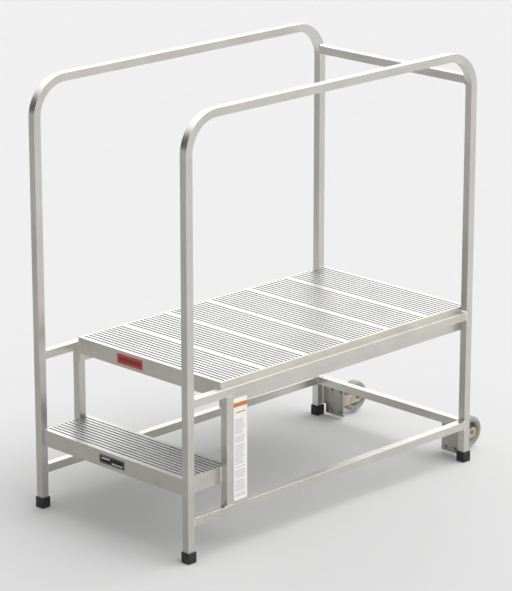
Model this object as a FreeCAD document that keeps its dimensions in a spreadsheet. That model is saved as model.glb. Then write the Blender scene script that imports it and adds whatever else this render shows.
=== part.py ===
"""Rolling aluminium work platform: one step, a ribbed deck and a guardrail hoop on each side.

Millimetres. +X is the side with the label plate, -Y is the step side, +Y the wheel side, +Z up.
The origin is on the floor, under the middle of the outline.
"""

import FreeCAD, Part

import math
import os

import Sketcher

# ---- driving dimensions -------------------------------------------------------------------------

DRIVING = (
    ("tube", 25.4, "outside of the square frame tube"),
    ("tube_wall", 3.175, "wall of the frame tube"),
    ("tube_corner", 0.9, "outer corner radius of the frame tube"),
    ("frame_width", 660.4, "over the outer faces of the two hoops"),
    ("frame_height", 1324.0, "floor to the top of the hoops"),
    ("bend_radius", 107.95, "centre line radius of the hoop bends"),
    ("top_rail_drop", 82.6, "top of the hoops to the top of the rear cross rail"),
    ("top_rail_inset", 3.2, "rear cross rail ahead of the back of the rear legs"),
    ("deck_height", 508.0, "floor to the top of the deck"),
    ("deck_stand", 14.3, "deck top above the deck side rails"),
    ("side_beam_depth", 76.2, "depth of the deck side beams"),
    ("side_beam_web", 6.35, "thickness of the deck side beams"),
    ("face_depth", 50.8, "depth of the face beams of deck and step"),
    ("face_plate", 3.175, "thickness of the face beams and of the step's side bars"),
    ("beam_flange", 25.4, "width of the bottom flange of every face beam"),
    ("step_height", 251.5, "floor to the top of the step"),
    ("step_setback", 7.9, "front of the front legs to the step's face"),
    ("step_overhang", 7.875, "back of the middle posts to the back of the step"),
    ("plank_width", 177.8, "one tread plank, front to back"),
    ("plank_count", 6, "planks in the deck"),
    ("plank_depth", 25.4, "depth of a plank over its legs"),
    ("plank_skin", 5.0, "thickness of a plank's top"),
    ("plank_leg", 3.0, "thickness of a plank's legs"),
    ("plank_corner", 0.5, "bevel on a plank's top edges"),
    ("groove_count", 10, "grooves in a plank"),
    ("groove_margin", 14.6625, "a plank's edge to its first groove"),
    ("groove_width", 5.6, "width of a groove"),
    ("groove_depth", 2.8, "depth of a groove"),
    ("foot_wall", 3.6, "wall of the rubber feet"),
    ("foot_height", 33.0, "height of the rubber feet"),
    ("foot_floor", 6.4, "rubber under the end of the tube"),
    ("foot_round", 1.5, "rounding under the feet"),
    ("label_plate_width", 57.15, "flat bar that carries the side label"),
    ("label_plate_thickness", 3.175, "thickness of that bar"),
    ("side_label_border", 1.275, "side label in from the long edges of its bar"),
    ("side_label_ends", 10.2, "side label in from the ends of its bar"),
    ("deck_label_width", 110.0, "label on the deck's face"),
    ("deck_label_height", 30.5, "label on the deck's face"),
    ("deck_label_reach", 133.1, "from the middle of the deck to the label's far end"),
    ("nameplate_width", 108.0, "plate on the step's face"),
    ("nameplate_height", 27.4, "plate on the step's face"),
    ("label_thickness", 0.3, "film labels"),
    ("nameplate_thickness", 0.8, "metal nameplate"),
    ("caster_inset", 55.9, "inner face of a leg to its wheel's centre"),
    ("wheel_lift", 6.7, "floor to the tyres, while the feet stand on it"),
    ("axle_reach", 79.4, "caster base plate's face to the axle"),
    ("mount_thickness", 6.35, "caster mounting plate"),
    ("mount_side", 4.15, "mounting plate beyond the base plate, towards the middle"),
    ("mount_below", 1.95, "mounting plate below the base plate"),
    ("mount_overlap", 17.5, "mounting plate up behind the lower rail"),
    ("notch_margin", 12.7, "notch round the foot, in from the leg"),
    ("notch_gap", 5.0, "notch above the top of the foot"),
    ("base_thickness", 3.2, "caster base plate"),
    ("base_edge_across", 11.1, "bolts to the sides of the base plate"),
    ("base_edge_up", 9.55, "bolts to the top and bottom of the base plate"),
    ("base_corner", 6.0, "corner radius of the base plate"),
    ("fork_wall", 3.2, "thickness of the fork's legs"),
    ("fork_root", 18.0, "half depth of a fork leg at its base plate"),
    ("fork_end", 17.0, "radius of a fork leg's end"),
    ("bolt_across", 38.1, "caster bolts, across"),
    ("bolt_up", 73.0, "caster bolts, up"),
    ("bolt_to_rail", 15.5, "upper caster bolts below the lower rear rail"),
    ("bolt_radius", 3.97, "caster bolts and axle bolts"),
    ("bolt_gap", 0.4, "bolt in its hole, on the radius"),
    ("bolt_flats", 12.7, "across the flats of heads and nuts"),
    ("head_height", 5.3, "bolt heads"),
    ("nut_height", 6.7, "nuts"),
    ("thread_gap", 0.05, "nut on its bolt, on the radius"),
    ("thread_end", 3.0, "bolt beyond its nut"),
    ("sleeve_radius", 6.3, "sleeve that the wheel turns on"),
    ("sleeve_gap", 0.1, "sleeve on the axle bolt, on the radius"),
    ("running_gap", 0.06, "hub on the sleeve, on the radius"),
    ("hub_gap", 0.9, "hub to each fork leg"),
    ("hub_radius", 12.0, "hub boss"),
    ("hub_web", 7.0, "web between boss and rim"),
    ("rim_inset", 2.375, "rim in from each side of the tyre"),
    ("rim_thickness", 4.0, "rim"),
    ("wheel_radius", 50.8, "over the tyre"),
    ("tyre_thickness", 13.0, "tyre on its rim"),
    ("tread_width", 31.75, "tyre"),
    ("tyre_gap", 3.175, "tyre to each fork leg"),
    ("tyre_round", 5.0, "tyre's shoulders"),
)


class Size:
    """A length that knows its value in millimetres and the sheet formula that it comes from."""

    def __init__(self, value, formula):
        self.value = float(value)
        self.formula = formula

    def __add__(self, other):
        other = as_size(other)
        return Size(self.value + other.value, f"({self.formula} + {other.formula})")

    def __sub__(self, other):
        other = as_size(other)
        return Size(self.value - other.value, f"({self.formula} - {other.formula})")

    def __mul__(self, other):
        other = as_size(other)
        return Size(self.value * other.value, f"({self.formula} * {other.formula})")

    def __truediv__(self, other):
        other = as_size(other)
        return Size(self.value / other.value, f"({self.formula} / {other.formula})")

    def __radd__(self, other):
        return as_size(other) + self

    def __rsub__(self, other):
        return as_size(other) - self

    def __rmul__(self, other):
        return as_size(other) * self

    def __neg__(self):
        return as_size(0) - self


def as_size(number):
    return number if isinstance(number, Size) else Size(number, f"({float(number)})")


doc = FreeCAD.newDocument("work_platform")
sheet = doc.addObject("Spreadsheet::Sheet", "Sizes")


def driving(alias, value, note, row):
    """Write one driving dimension into the sheet and return it as a Size."""
    sheet.set(f"A{row}", note)
    sheet.set(f"B{row}", str(value))
    sheet.setAlias(f"B{row}", alias)
    return Size(value, f"Sizes.{alias}")


d = {alias: driving(alias, value, note, row) for row, (alias, value, note) in enumerate(DRIVING, start=1)}
doc.recompute()

# ---- places worked out from the driving dimensions ----------------------------------------------

tube = d["tube"]
step_length = d["face_plate"] + d["plank_width"]  # the step's face beam and plank
deck_length = d["face_plate"] + d["plank_count"] * d["plank_width"]
front_bay = d["step_setback"] + step_length - d["step_overhang"] - tube  # front legs to middle posts
frame_length = front_bay + deck_length
mount_face = frame_length
base_face = mount_face + d["mount_thickness"]
outline_depth = d["foot_wall"] + base_face + d["axle_reach"] + d["wheel_radius"]

front_y = d["foot_wall"] - outline_depth / 2  # front of the front legs
rear_y = front_y + frame_length  # back of the rear legs
side_x = d["frame_width"] / 2  # outer faces of the legs
inner_x = side_x - tube  # inner faces of the legs
leg_x = side_x - tube / 2  # centre lines of the legs

deck_top = d["deck_height"]
deck_rail_top = deck_top - d["deck_stand"]
deck_y = front_y + front_bay  # front face of the deck, and of the middle posts
planks_y = deck_y + d["face_plate"]
plank_half = inner_x - d["side_beam_web"]

step_top = d["step_height"]
step_y = front_y + d["step_setback"]
step_half = inner_x - d["face_plate"]

caster_x = inner_x - d["caster_inset"]
axle_y = rear_y + d["mount_thickness"] + d["axle_reach"]
axle_z = d["wheel_lift"] + d["wheel_radius"]
lower_top = axle_z + d["bolt_up"] / 2 + d["bolt_to_rail"] + tube
fork_gap = d["tread_width"] + 2 * d["tyre_gap"]
base_half_width = d["bolt_across"] / 2 + d["base_edge_across"]
base_half_height = d["bolt_up"] / 2 + d["base_edge_up"]
sides = (("left", -1), ("right", 1))
parts = []

# ---- how the pieces are made --------------------------------------------------------------------


def new_body(label, x, y, z):
    """A body whose own origin stands at x, y, z."""
    body = doc.addObject("PartDesign::Body", label)
    body.Label = label
    place(body, x, y, z)
    return body


def place(item, x, y, z, axis=(0, 0, 1), angle=0):
    """Set an object's place, bound to the sheet, turned by angle about axis."""
    x, y, z = as_size(x), as_size(y), as_size(z)
    turn = FreeCAD.Rotation(FreeCAD.Vector(*axis), angle)
    item.Placement = FreeCAD.Placement(FreeCAD.Vector(x.value, y.value, z.value), turn)
    for letter, size in zip("xyz", (x, y, z)):
        item.setExpression(f"Placement.Base.{letter}", size.formula)


def new_sketch(body, plane, lift=None):
    """A sketch on one of the body's origin planes, lifted along the plane's normal."""
    sketch = body.newObject("Sketcher::SketchObject", f"{body.Label}_sketch")
    origin_plane = [feature for feature in body.Origin.OriginFeatures if feature.Role == plane][0]
    sketch.AttachmentSupport = [(origin_plane, "")]
    sketch.MapMode = "FlatFace"
    if lift is not None:
        sketch.setExpression("AttachmentOffset.Base.z", lift.formula)
    return sketch


def pin_point(sketch, edge, end, x, y):
    """Hold one point of a sketch at x, y from its origin, both bound to the sheet."""
    for kind, size in (("DistanceX", as_size(x)), ("DistanceY", as_size(y))):
        number = sketch.addConstraint(Sketcher.Constraint(kind, -1, 1, edge, end, size.value))
        sketch.setExpression(f"Constraints[{number}]", size.formula)


def draw_side(sketch, start, end, arc):
    """Add one straight or round side; returns its number and its two ends in the order travelled."""
    first = FreeCAD.Vector(start[0].value, start[1].value, 0)
    last = FreeCAD.Vector(end[0].value, end[1].value, 0)
    if arc is None:
        return sketch.addGeometry(Part.LineSegment(first, last), False), 1, 2
    centre_x, centre_y, anticlockwise = as_size(arc[0]), as_size(arc[1]), arc[2]
    centre = FreeCAD.Vector(centre_x.value, centre_y.value, 0)
    if not anticlockwise:
        first, last = last, first
    circle = Part.Circle(centre, FreeCAD.Vector(0, 0, 1), (first - centre).Length)
    angles = [math.atan2(point.y - centre.y, point.x - centre.x) for point in (first, last)]
    if angles[1] <= angles[0]:
        angles[1] += 2 * math.pi
    edge = sketch.addGeometry(Part.ArcOfCircle(circle, angles[0], angles[1]), False)
    # The two ends leave the centre one freedom, along the line half way between them.
    upright = abs(first.x - last.x) < abs(first.y - last.y)
    kind, size = ("DistanceX", centre_x) if upright else ("DistanceY", centre_y)
    number = sketch.addConstraint(Sketcher.Constraint(kind, -1, 1, edge, 3, size.value))
    sketch.setExpression(f"Constraints[{number}]", size.formula)
    return (edge, 1, 2) if anticlockwise else (edge, 2, 1)


def draw_outline(sketch, points, arcs=None, closed=True):
    """Join the points in turn; arcs gives a side that starts at a point its centre and sense."""
    arcs = arcs or {}
    points = [(as_size(x), as_size(y)) for x, y in points]
    ends = points[1:] + points[:1] if closed else points[1:]
    drawn = [draw_side(sketch, a, b, arcs.get(i)) for i, (a, b) in enumerate(zip(points, ends))]
    for (edge, start, _), (x, y) in zip(drawn, points):
        pin_point(sketch, edge, start, x, y)
    if not closed:
        pin_point(sketch, drawn[-1][0], drawn[-1][2], *points[-1])
    followers = drawn[1:] + drawn[:1] if closed else drawn[1:]
    for (edge, _, end), (following, start, _) in zip(drawn, followers):
        sketch.addConstraint(Sketcher.Constraint("Coincident", edge, end, following, start))


def draw_rectangle(sketch, x0, y0, x1, y1, radius=None):
    """A rectangle between two corners, with round corners if it has a radius."""
    if radius is None:
        draw_outline(sketch, [(x0, y0), (x1, y0), (x1, y1), (x0, y1)])
        return
    left, right, low, high = x0 + radius, x1 - radius, y0 + radius, y1 - radius
    points = [(left, y0), (right, y0), (x1, low), (x1, high)]
    points += [(right, y1), (left, y1), (x0, high), (x0, low)]
    arcs = {1: (right, low, True), 3: (right, high, True), 5: (left, high, True), 7: (left, low, True)}
    draw_outline(sketch, points, arcs)


def draw_circle(sketch, x, y, radius):
    x, y, radius = as_size(x), as_size(y), as_size(radius)
    centre = FreeCAD.Vector(x.value, y.value, 0)
    edge = sketch.addGeometry(Part.Circle(centre, FreeCAD.Vector(0, 0, 1), radius.value), False)
    pin_point(sketch, edge, 3, x, y)
    number = sketch.addConstraint(Sketcher.Constraint("Radius", edge, radius.value))
    sketch.setExpression(f"Constraints[{number}]", radius.formula)


def pad(body, sketch, length, reverse=False):
    feature = body.newObject("PartDesign::Pad", f"{body.Label}_pad")
    feature.Profile = sketch
    feature.Reversed = reverse
    feature.setExpression("Length", length.formula)
    body.Tip = feature
    return feature


def pocket_through(body, sketch):
    """Cut a sketch right through the body, both ways."""
    feature = body.newObject("PartDesign::Pocket", f"{body.Label}_cut")
    feature.Profile = sketch
    feature.Type = "ThroughAll"
    feature.Midplane = True
    body.Tip = feature
    return feature


def turn_about_x(body, sketch):
    """Revolve a sketch of X and radius about the body's X axis."""
    feature = body.newObject("PartDesign::Revolution", f"{body.Label}_turned")
    feature.Profile = sketch
    feature.ReferenceAxis = (sketch, ["H_Axis"])
    feature.Angle = 360
    body.Tip = feature
    return feature


def done(body):
    parts.append(body)
    return body


# Along X a section is drawn as Y, Z; along Y as X, Z; along Z as X, Y.
PLANES = {"X": ("YZ_Plane", False), "Y": ("XZ_Plane", True), "Z": ("XY_Plane", False)}


def draw_tube_section(sketch):
    """The square tube's section, round its own centre."""
    half, hollow = tube / 2, tube / 2 - d["tube_wall"]
    draw_rectangle(sketch, -half, -half, half, half, d["tube_corner"])
    draw_rectangle(sketch, -hollow, -hollow, hollow, hollow)


def straight_tube(label, direction, x, y, z, length):
    """A square tube from the centre of one end at x, y, z, running along +X, +Y or +Z."""
    body = new_body(label, x, y, z)
    plane, reverse = PLANES[direction]
    sketch = new_sketch(body, plane)
    draw_tube_section(sketch)
    pad(body, sketch, length, reverse)
    return done(body)


def extrusion(label, direction, x, y, z, points, length):
    """A bar of the given section from x, y, z, running along +X, +Y or +Z."""
    body = new_body(label, x, y, z)
    plane, reverse = PLANES[direction]
    sketch = new_sketch(body, plane)
    draw_outline(sketch, points)
    pad(body, sketch, length, reverse)
    return body


# ---- guardrail hoops: one bent tube a side, with both legs -------------------------------------


def hoop(label, x):
    """One tube from a front foot up, over two bends and down to the rear foot."""
    body = new_body(label, x, front_y + tube / 2, d["foot_floor"])
    rise = d["frame_height"] - tube / 2 - d["foot_floor"]
    span = frame_length - tube
    bend = d["bend_radius"]
    spine = new_sketch(body, "YZ_Plane")
    points = [(0, 0), (0, rise - bend), (bend, rise), (span - bend, rise), (span, rise - bend), (span, 0)]
    arcs = {1: (bend, rise - bend, False), 3: (span - bend, rise - bend, False)}
    draw_outline(spine, points, arcs, closed=False)
    section = new_sketch(body, "XY_Plane")
    draw_tube_section(section)
    doc.recompute()
    pipe = body.newObject("PartDesign::AdditivePipe", f"{label}_bent")
    pipe.Profile = section
    pipe.Spine = (spine, [f"Edge{number}" for number in range(1, len(points))])
    body.Tip = pipe
    return done(body)


for side, sign in sides:
    hoop(f"hoop_{side}", leg_x * sign)

# ---- rails: square tube butted and welded between the legs --------------------------------------

rail_y = front_y + tube
rail_length = frame_length - 2 * tube
for side, sign in sides:
    straight_tube(f"deck_rail_{side}", "Y", leg_x * sign, rail_y, deck_rail_top - tube / 2, rail_length)
    straight_tube(f"lower_rail_{side}", "Y", leg_x * sign, rail_y, lower_top - tube / 2, rail_length)

straight_tube("lower_rail_rear", "X", -inner_x, rear_y - tube / 2, lower_top - tube / 2, 2 * inner_x)
straight_tube(
    "top_rail_rear",
    "X",
    -inner_x,
    rear_y - d["top_rail_inset"] - tube / 2,
    d["frame_height"] - d["top_rail_drop"] - tube / 2,
    2 * inner_x,
)

# Middle posts stand on the lower rails and carry the deck rails at the front of the deck.
post_length = deck_rail_top - tube - lower_top
for side, sign in sides:
    straight_tube(f"middle_post_{side}", "Z", leg_x * sign, deck_y + tube / 2, lower_top, post_length)

# ---- deck and step frames: flat bars along the sides, and angles across the ends ------------------


def bar_section(plate, depth, sign):
    """A flat bar's section: a plate hung from the origin, its thickness towards sign."""
    return [(0, 0), (0, -depth), (plate * sign, -depth), (plate * sign, 0)]


def angle_section(plate, depth, flange, sign):
    """An angle's section: a plate hung from the origin, and a flange at its foot towards sign."""
    return [
        (0, 0),
        (0, -depth),
        (flange * sign, -depth),
        (flange * sign, plate - depth),
        (plate * sign, plate - depth),
        (plate * sign, 0),
    ]


for side, sign in sides:
    section = bar_section(d["side_beam_web"], d["side_beam_depth"], -sign)
    done(extrusion(f"deck_beam_{side}", "Y", inner_x * sign, deck_y, deck_top, section, deck_length))

front_section = angle_section(d["face_plate"], d["face_depth"], d["beam_flange"], 1)
done(extrusion("deck_face_front", "X", -plank_half, deck_y, deck_top, front_section, 2 * plank_half))

rear_section = angle_section(d["face_plate"], d["face_depth"] - d["plank_depth"], d["beam_flange"], -1)
rear_top = deck_top - d["plank_depth"]
done(extrusion("deck_face_rear", "X", -plank_half, rear_y, rear_top, rear_section, 2 * plank_half))

done(extrusion("step_face_front", "X", -step_half, step_y, step_top, front_section, 2 * step_half))

# The step's side bars run from its face past the middle posts to the back of its plank.
for side, sign in sides:
    section = bar_section(d["face_plate"], d["face_depth"], -sign)
    done(extrusion(f"step_beam_{side}", "Y", inner_x * sign, step_y, step_top, section, step_length))

# ---- planks: ribbed extrusions laid across ------------------------------------------------------


def plank_section():
    """A plank's section from its top front edge: a skin on four legs, with bevelled top edges."""
    width, depth, skin = d["plank_width"], d["plank_depth"], d["plank_skin"]
    leg, bevel = d["plank_leg"], d["plank_corner"]
    points = [(0, -bevel), (0, -depth), (leg, -depth), (leg, -skin)]
    for third in (1, 2):
        near = width * third / 3 - leg / 2
        far = near + leg
        points += [(near, -skin), (near, -depth), (far, -depth), (far, -skin)]
    points += [(width - leg, -skin), (width - leg, -depth), (width, -depth), (width, -bevel)]
    points += [(width - bevel, 0), (bevel, 0)]
    return points


def plank(label, half_length, y, z):
    """One plank across the platform, with its front edge at y and its top at z."""
    length = 2 * half_length
    body = extrusion(label, "X", -half_length, y, z, plank_section(), length)
    first = d["groove_margin"]
    spread = d["plank_width"] - 2 * first - d["groove_width"]
    sketch = new_sketch(body, "YZ_Plane")
    draw_rectangle(sketch, first, -d["groove_depth"], first + d["groove_width"], d["groove_depth"])
    doc.recompute()
    groove = pocket_through(body, sketch)
    doc.recompute()
    row = body.newObject("PartDesign::LinearPattern", f"{label}_grooves")
    row.Originals = [groove]
    row.Direction = (sketch, ["H_Axis"])
    row.Mode = "Extent"
    row.setExpression("Length", spread.formula)
    row.setExpression("Occurrences", d["groove_count"].formula)
    body.Tip = row
    return done(body)


for number in range(int(d["plank_count"].value)):
    plank(f"deck_plank_{number + 1}", plank_half, planks_y + number * d["plank_width"], deck_top)

plank("step_plank", step_half, step_y + d["face_plate"], step_top)

# ---- rubber feet --------------------------------------------------------------------------------


def foot(label, x, y):
    """A square rubber cup pushed over the end of a leg."""
    body = new_body(label, x, y, 0)
    half, socket = tube / 2 + d["foot_wall"], tube / 2
    outside = new_sketch(body, "XY_Plane")
    draw_rectangle(outside, -half, -half, half, half, d["foot_wall"] / 2)
    block = pad(body, outside, d["foot_height"])
    doc.recompute()
    under = [
        f"Edge{number}"
        for number, edge in enumerate(block.Shape.Edges, start=1)
        if edge.BoundBox.ZMax < block.Shape.BoundBox.ZMin + d["foot_round"].value / 2
    ]
    rounding = body.newObject("PartDesign::Fillet", f"{label}_rounding")
    rounding.Base = (block, under)
    rounding.setExpression("Radius", d["foot_round"].formula)
    body.Tip = rounding
    inside = new_sketch(body, "XY_Plane", d["foot_height"])
    draw_rectangle(inside, -socket, -socket, socket, socket)
    doc.recompute()
    cup = body.newObject("PartDesign::Pocket", f"{label}_socket")
    cup.Profile = inside
    cup.setExpression("Length", (d["foot_height"] - d["foot_floor"]).formula)
    body.Tip = cup
    return done(body)


for side, sign in sides:
    foot(f"foot_front_{side}", leg_x * sign, front_y + tube / 2)
    foot(f"foot_rear_{side}", leg_x * sign, rear_y - tube / 2)

# ---- label plate, labels and nameplate ----------------------------------------------------------


def slab(label, x, y, z, length, width, height):
    """A plain flat piece from its lowest corner."""
    item = doc.addObject("Part::Box", label)
    item.Label = label
    for name, size in (("Length", length), ("Width", width), ("Height", height)):
        item.setExpression(name, size.formula)
    place(item, x, y, z)
    return done(item)


bar_y = deck_y + tube
bar_width, bar_thickness = d["label_plate_width"], d["label_plate_thickness"]
label_border, label_ends = d["side_label_border"], d["side_label_ends"]
slab("label_plate", side_x - bar_thickness, bar_y, lower_top, bar_thickness, bar_width, post_length)
slab(
    "side_label",
    side_x,
    bar_y + label_border,
    lower_top + label_ends,
    d["label_thickness"],
    bar_width - 2 * label_border,
    post_length - 2 * label_ends,
)

# The deck's label lies left of the middle and the step's nameplate in the middle.
slab(
    "deck_label",
    -d["deck_label_reach"],
    deck_y - d["label_thickness"],
    deck_top - (d["face_depth"] + d["deck_label_height"]) / 2,
    d["deck_label_width"],
    d["label_thickness"],
    d["deck_label_height"],
)
slab(
    "step_nameplate",
    -d["nameplate_width"] / 2,
    step_y - d["nameplate_thickness"],
    step_top - (d["face_depth"] + d["nameplate_height"]) / 2,
    d["nameplate_width"],
    d["nameplate_thickness"],
    d["nameplate_height"],
)

# ---- casters: rigid forks bolted to plates behind the rear legs ---------------------------------


def bolt_places():
    """The four caster bolts, as X from the wheel's centre and Z from the axle."""
    return [(d["bolt_across"] * across / 2, d["bolt_up"] * up / 2) for across in (-1, 1) for up in (-1, 1)]


def mounting_plate(label, sign):
    """The plate welded behind a rear leg and the lower rail, notched round the foot."""
    body = new_body(label, caster_x * sign, rear_y, 0)
    sketch = new_sketch(body, "XZ_Plane")
    inner = -((base_half_width + d["mount_side"]) * sign)
    outer = (leg_x - caster_x) * sign
    notch = (inner_x - d["notch_margin"] - caster_x) * sign
    low = axle_z - base_half_height - d["mount_below"]
    high = lower_top - tube + d["mount_overlap"]
    notch_top = d["foot_height"] + d["notch_gap"]
    points = [(inner, low), (notch, low), (notch, notch_top)]
    points += [(outer, notch_top), (outer, high), (inner, high)]
    draw_outline(sketch, points)
    for x, z in bolt_places():
        draw_circle(sketch, x, axle_z + z, d["bolt_radius"] + d["bolt_gap"])
    pad(body, sketch, d["mount_thickness"], True)
    return done(body)


def fork(label, sign):
    """A pressed steel fork: a base plate with a leg each side of the wheel."""
    body = new_body(label, caster_x * sign, rear_y + d["mount_thickness"], axle_z)
    base = new_sketch(body, "XZ_Plane")
    width, height = base_half_width, base_half_height
    draw_rectangle(base, -width, -height, width, height, d["base_corner"])
    for x, z in bolt_places():
        draw_circle(base, x, z, d["bolt_radius"] + d["bolt_gap"])
    pad(body, base, d["base_thickness"], True)
    root, end, reach = d["fork_root"], d["fork_end"], d["axle_reach"]
    points = [(0, -root), (reach, -end), (reach, end), (0, root)]
    for lift in (fork_gap / 2, -fork_gap / 2 - d["fork_wall"]):
        leg = new_sketch(body, "YZ_Plane", lift)
        draw_outline(leg, points, {1: (reach, 0, True)})
        pad(body, leg, d["fork_wall"])
    doc.recompute()
    hole = new_sketch(body, "YZ_Plane")
    draw_circle(hole, reach, 0, d["bolt_radius"] + d["thread_gap"])
    pocket_through(body, hole)
    return done(body)


def prism(name, height):
    """A hexagonal bar with the flats of a bolt head."""
    item = doc.addObject("Part::Prism", name)
    item.Polygon = 6
    item.setExpression("Circumradius", (d["bolt_flats"] / math.sqrt(3)).formula)
    item.setExpression("Height", height.formula)
    return item


def rod(name, radius, height):
    item = doc.addObject("Part::Cylinder", name)
    item.setExpression("Radius", radius.formula)
    item.setExpression("Height", height.formula)
    return item


def bolt(name, x, y, z, axis, angle, grip):
    """A hexagon bolt whose head bears at x, y, z and whose shank runs through grip and a nut."""
    head = prism(f"{name}_head", d["head_height"])
    place(head, 0, 0, -d["head_height"])
    shank_length = d["head_height"] + grip + d["nut_height"] + d["thread_end"]
    shank = rod(f"{name}_shank", d["bolt_radius"], shank_length)
    place(shank, 0, 0, -d["head_height"])
    whole = doc.addObject("Part::Fuse", name)
    whole.Base, whole.Tool = head, shank
    place(whole, x, y, z, axis, angle)
    return whole


def nut(name, x, y, z, axis, angle):
    """A hexagon nut that bears at x, y, z."""
    outside = prism(f"{name}_outside", d["nut_height"])
    thread = rod(f"{name}_thread", d["bolt_radius"] + d["thread_gap"], d["nut_height"])
    whole = doc.addObject("Part::Cut", name)
    whole.Base, whole.Tool = outside, thread
    place(whole, x, y, z, axis, angle)
    return whole


def group(label, items):
    """Like fasteners kept as separate solids in one sub-part."""
    item = doc.addObject("Part::Compound", label)
    item.Label = label
    item.Links = items
    return done(item)


X_AXIS, Y_AXIS = (1, 0, 0), (0, 1, 0)
clamped = d["mount_thickness"] + d["base_thickness"]


def caster_fasteners(side, sign):
    """Four bolts with their heads in front of the mounting plate and their nuts behind the fork."""
    bolts, nuts = [], []
    for number, (x, z) in enumerate(bolt_places(), start=1):
        across, up = caster_x * sign + x, axle_z + z
        bolts.append(bolt(f"caster_bolt_{side}_{number}", across, rear_y, up, X_AXIS, -90, clamped))
        nuts.append(nut(f"caster_nut_{side}_{number}", across, rear_y + clamped, up, X_AXIS, -90))
    group(f"caster_bolts_{side}", bolts)
    group(f"caster_nuts_{side}", nuts)


def axle(side, sign):
    """The axle bolt with its head outwards, its nut, and the sleeve clamped between the fork's legs."""
    reach = fork_gap / 2 + d["fork_wall"]
    turn = -90 * sign
    grip = 2 * reach
    head_x, nut_x = (caster_x + reach) * sign, (caster_x - reach) * sign
    group(f"axle_bolt_{side}", [bolt(f"axle_screw_{side}", head_x, axle_y, axle_z, Y_AXIS, turn, grip)])
    group(f"axle_nut_{side}", [nut(f"axle_hexagon_{side}", nut_x, axle_y, axle_z, Y_AXIS, turn)])
    outside = rod(f"sleeve_outside_{side}", d["sleeve_radius"], fork_gap)
    inside = rod(f"sleeve_inside_{side}", d["bolt_radius"] + d["sleeve_gap"], fork_gap)
    sleeve = doc.addObject("Part::Cut", f"axle_sleeve_{side}")
    sleeve.Label = f"axle_sleeve_{side}"
    sleeve.Base, sleeve.Tool = outside, inside
    place(sleeve, caster_x * sign - fork_gap / 2, axle_y, axle_z, Y_AXIS, 90)
    done(sleeve)


def wheel_hub(label, x):
    """A moulded wheel centre: boss, thin web and rim, turned about the axle."""
    body = new_body(label, x, axle_y, axle_z)
    sketch = new_sketch(body, "XZ_Plane")
    bore = d["sleeve_radius"] + d["running_gap"]
    boss, rim_out = d["hub_radius"], d["wheel_radius"] - d["tyre_thickness"]
    rim_in = rim_out - d["rim_thickness"]
    boss_half, web_half = fork_gap / 2 - d["hub_gap"], d["hub_web"] / 2
    rim_half = d["tread_width"] / 2 - d["rim_inset"]
    right = [(boss_half, bore), (boss_half, boss), (web_half, boss), (web_half, rim_in), (rim_half, rim_in)]
    right.append((rim_half, rim_out))
    draw_outline(sketch, right + [(-x, radius) for x, radius in reversed(right)])
    turn_about_x(body, sketch)
    return done(body)


def tyre(label, x):
    """A plain tyre with round shoulders."""
    body = new_body(label, x, axle_y, axle_z)
    sketch = new_sketch(body, "XZ_Plane")
    half, outer, shoulder = d["tread_width"] / 2, d["wheel_radius"], d["tyre_round"]
    inner = outer - d["tyre_thickness"]
    points = [
        (-half, inner),
        (half, inner),
        (half, outer - shoulder),
        (half - shoulder, outer),
        (shoulder - half, outer),
        (-half, outer - shoulder),
    ]
    arcs = {2: (half - shoulder, outer - shoulder, True), 4: (shoulder - half, outer - shoulder, True)}
    draw_outline(sketch, points, arcs)
    turn_about_x(body, sketch)
    return done(body)


for side, sign in sides:
    mounting_plate(f"caster_mount_{side}", sign)
    fork(f"caster_fork_{side}", sign)
    caster_fasteners(side, sign)
    axle(side, sign)
    wheel_hub(f"wheel_hub_{side}", caster_x * sign)
    tyre(f"tyre_{side}", caster_x * sign)

# ---- check and write ----------------------------------------------------------------------------

doc.recompute()
failed = [item.Name for item in doc.Objects if {"Invalid", "Error"} & set(item.State)]
if failed:
    raise RuntimeError(f"features that did not build: {failed}")

os.makedirs("parts", exist_ok=True)
for part in parts:
    if part.Shape.isNull() or not part.Shape.isValid():
        raise RuntimeError(f"{part.Label} has no valid shape")
    part.Shape.exportStep(f"parts/{part.Label}.step")
print(f"{len(parts)} sub-parts written")
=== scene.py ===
import math

import bmesh
import bpy
import numpy as np
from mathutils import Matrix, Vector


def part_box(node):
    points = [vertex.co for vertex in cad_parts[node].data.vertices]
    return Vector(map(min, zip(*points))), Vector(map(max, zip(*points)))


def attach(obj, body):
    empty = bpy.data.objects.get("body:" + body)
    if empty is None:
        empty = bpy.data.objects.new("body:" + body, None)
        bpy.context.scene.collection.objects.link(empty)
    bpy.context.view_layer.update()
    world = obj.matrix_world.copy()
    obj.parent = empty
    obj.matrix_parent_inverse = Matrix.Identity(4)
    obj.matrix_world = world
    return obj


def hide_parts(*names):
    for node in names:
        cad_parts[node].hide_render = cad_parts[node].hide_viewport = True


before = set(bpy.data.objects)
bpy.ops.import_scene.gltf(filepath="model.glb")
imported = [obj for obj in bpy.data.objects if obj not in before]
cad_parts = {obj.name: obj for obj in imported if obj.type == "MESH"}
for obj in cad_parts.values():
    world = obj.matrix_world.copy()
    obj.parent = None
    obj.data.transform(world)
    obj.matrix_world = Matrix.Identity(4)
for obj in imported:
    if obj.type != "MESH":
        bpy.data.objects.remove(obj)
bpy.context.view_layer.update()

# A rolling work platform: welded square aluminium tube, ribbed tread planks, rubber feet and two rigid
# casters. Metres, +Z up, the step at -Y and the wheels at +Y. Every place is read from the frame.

# ---- camera -------------------------------------------------------------------------------------
# A long lens, well back and to the front right of the platform, a little above its handrails.

azimuth, elevation = math.radians(44.845), math.radians(16.893)
camera_distance = 8.86
camera_aim = np.array([0.0, -0.0738, 0.6066])
camera_back = np.array(
    [
        math.sin(azimuth) * math.cos(elevation),
        -math.cos(azimuth) * math.cos(elevation),
        math.sin(elevation),
    ]
)

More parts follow.
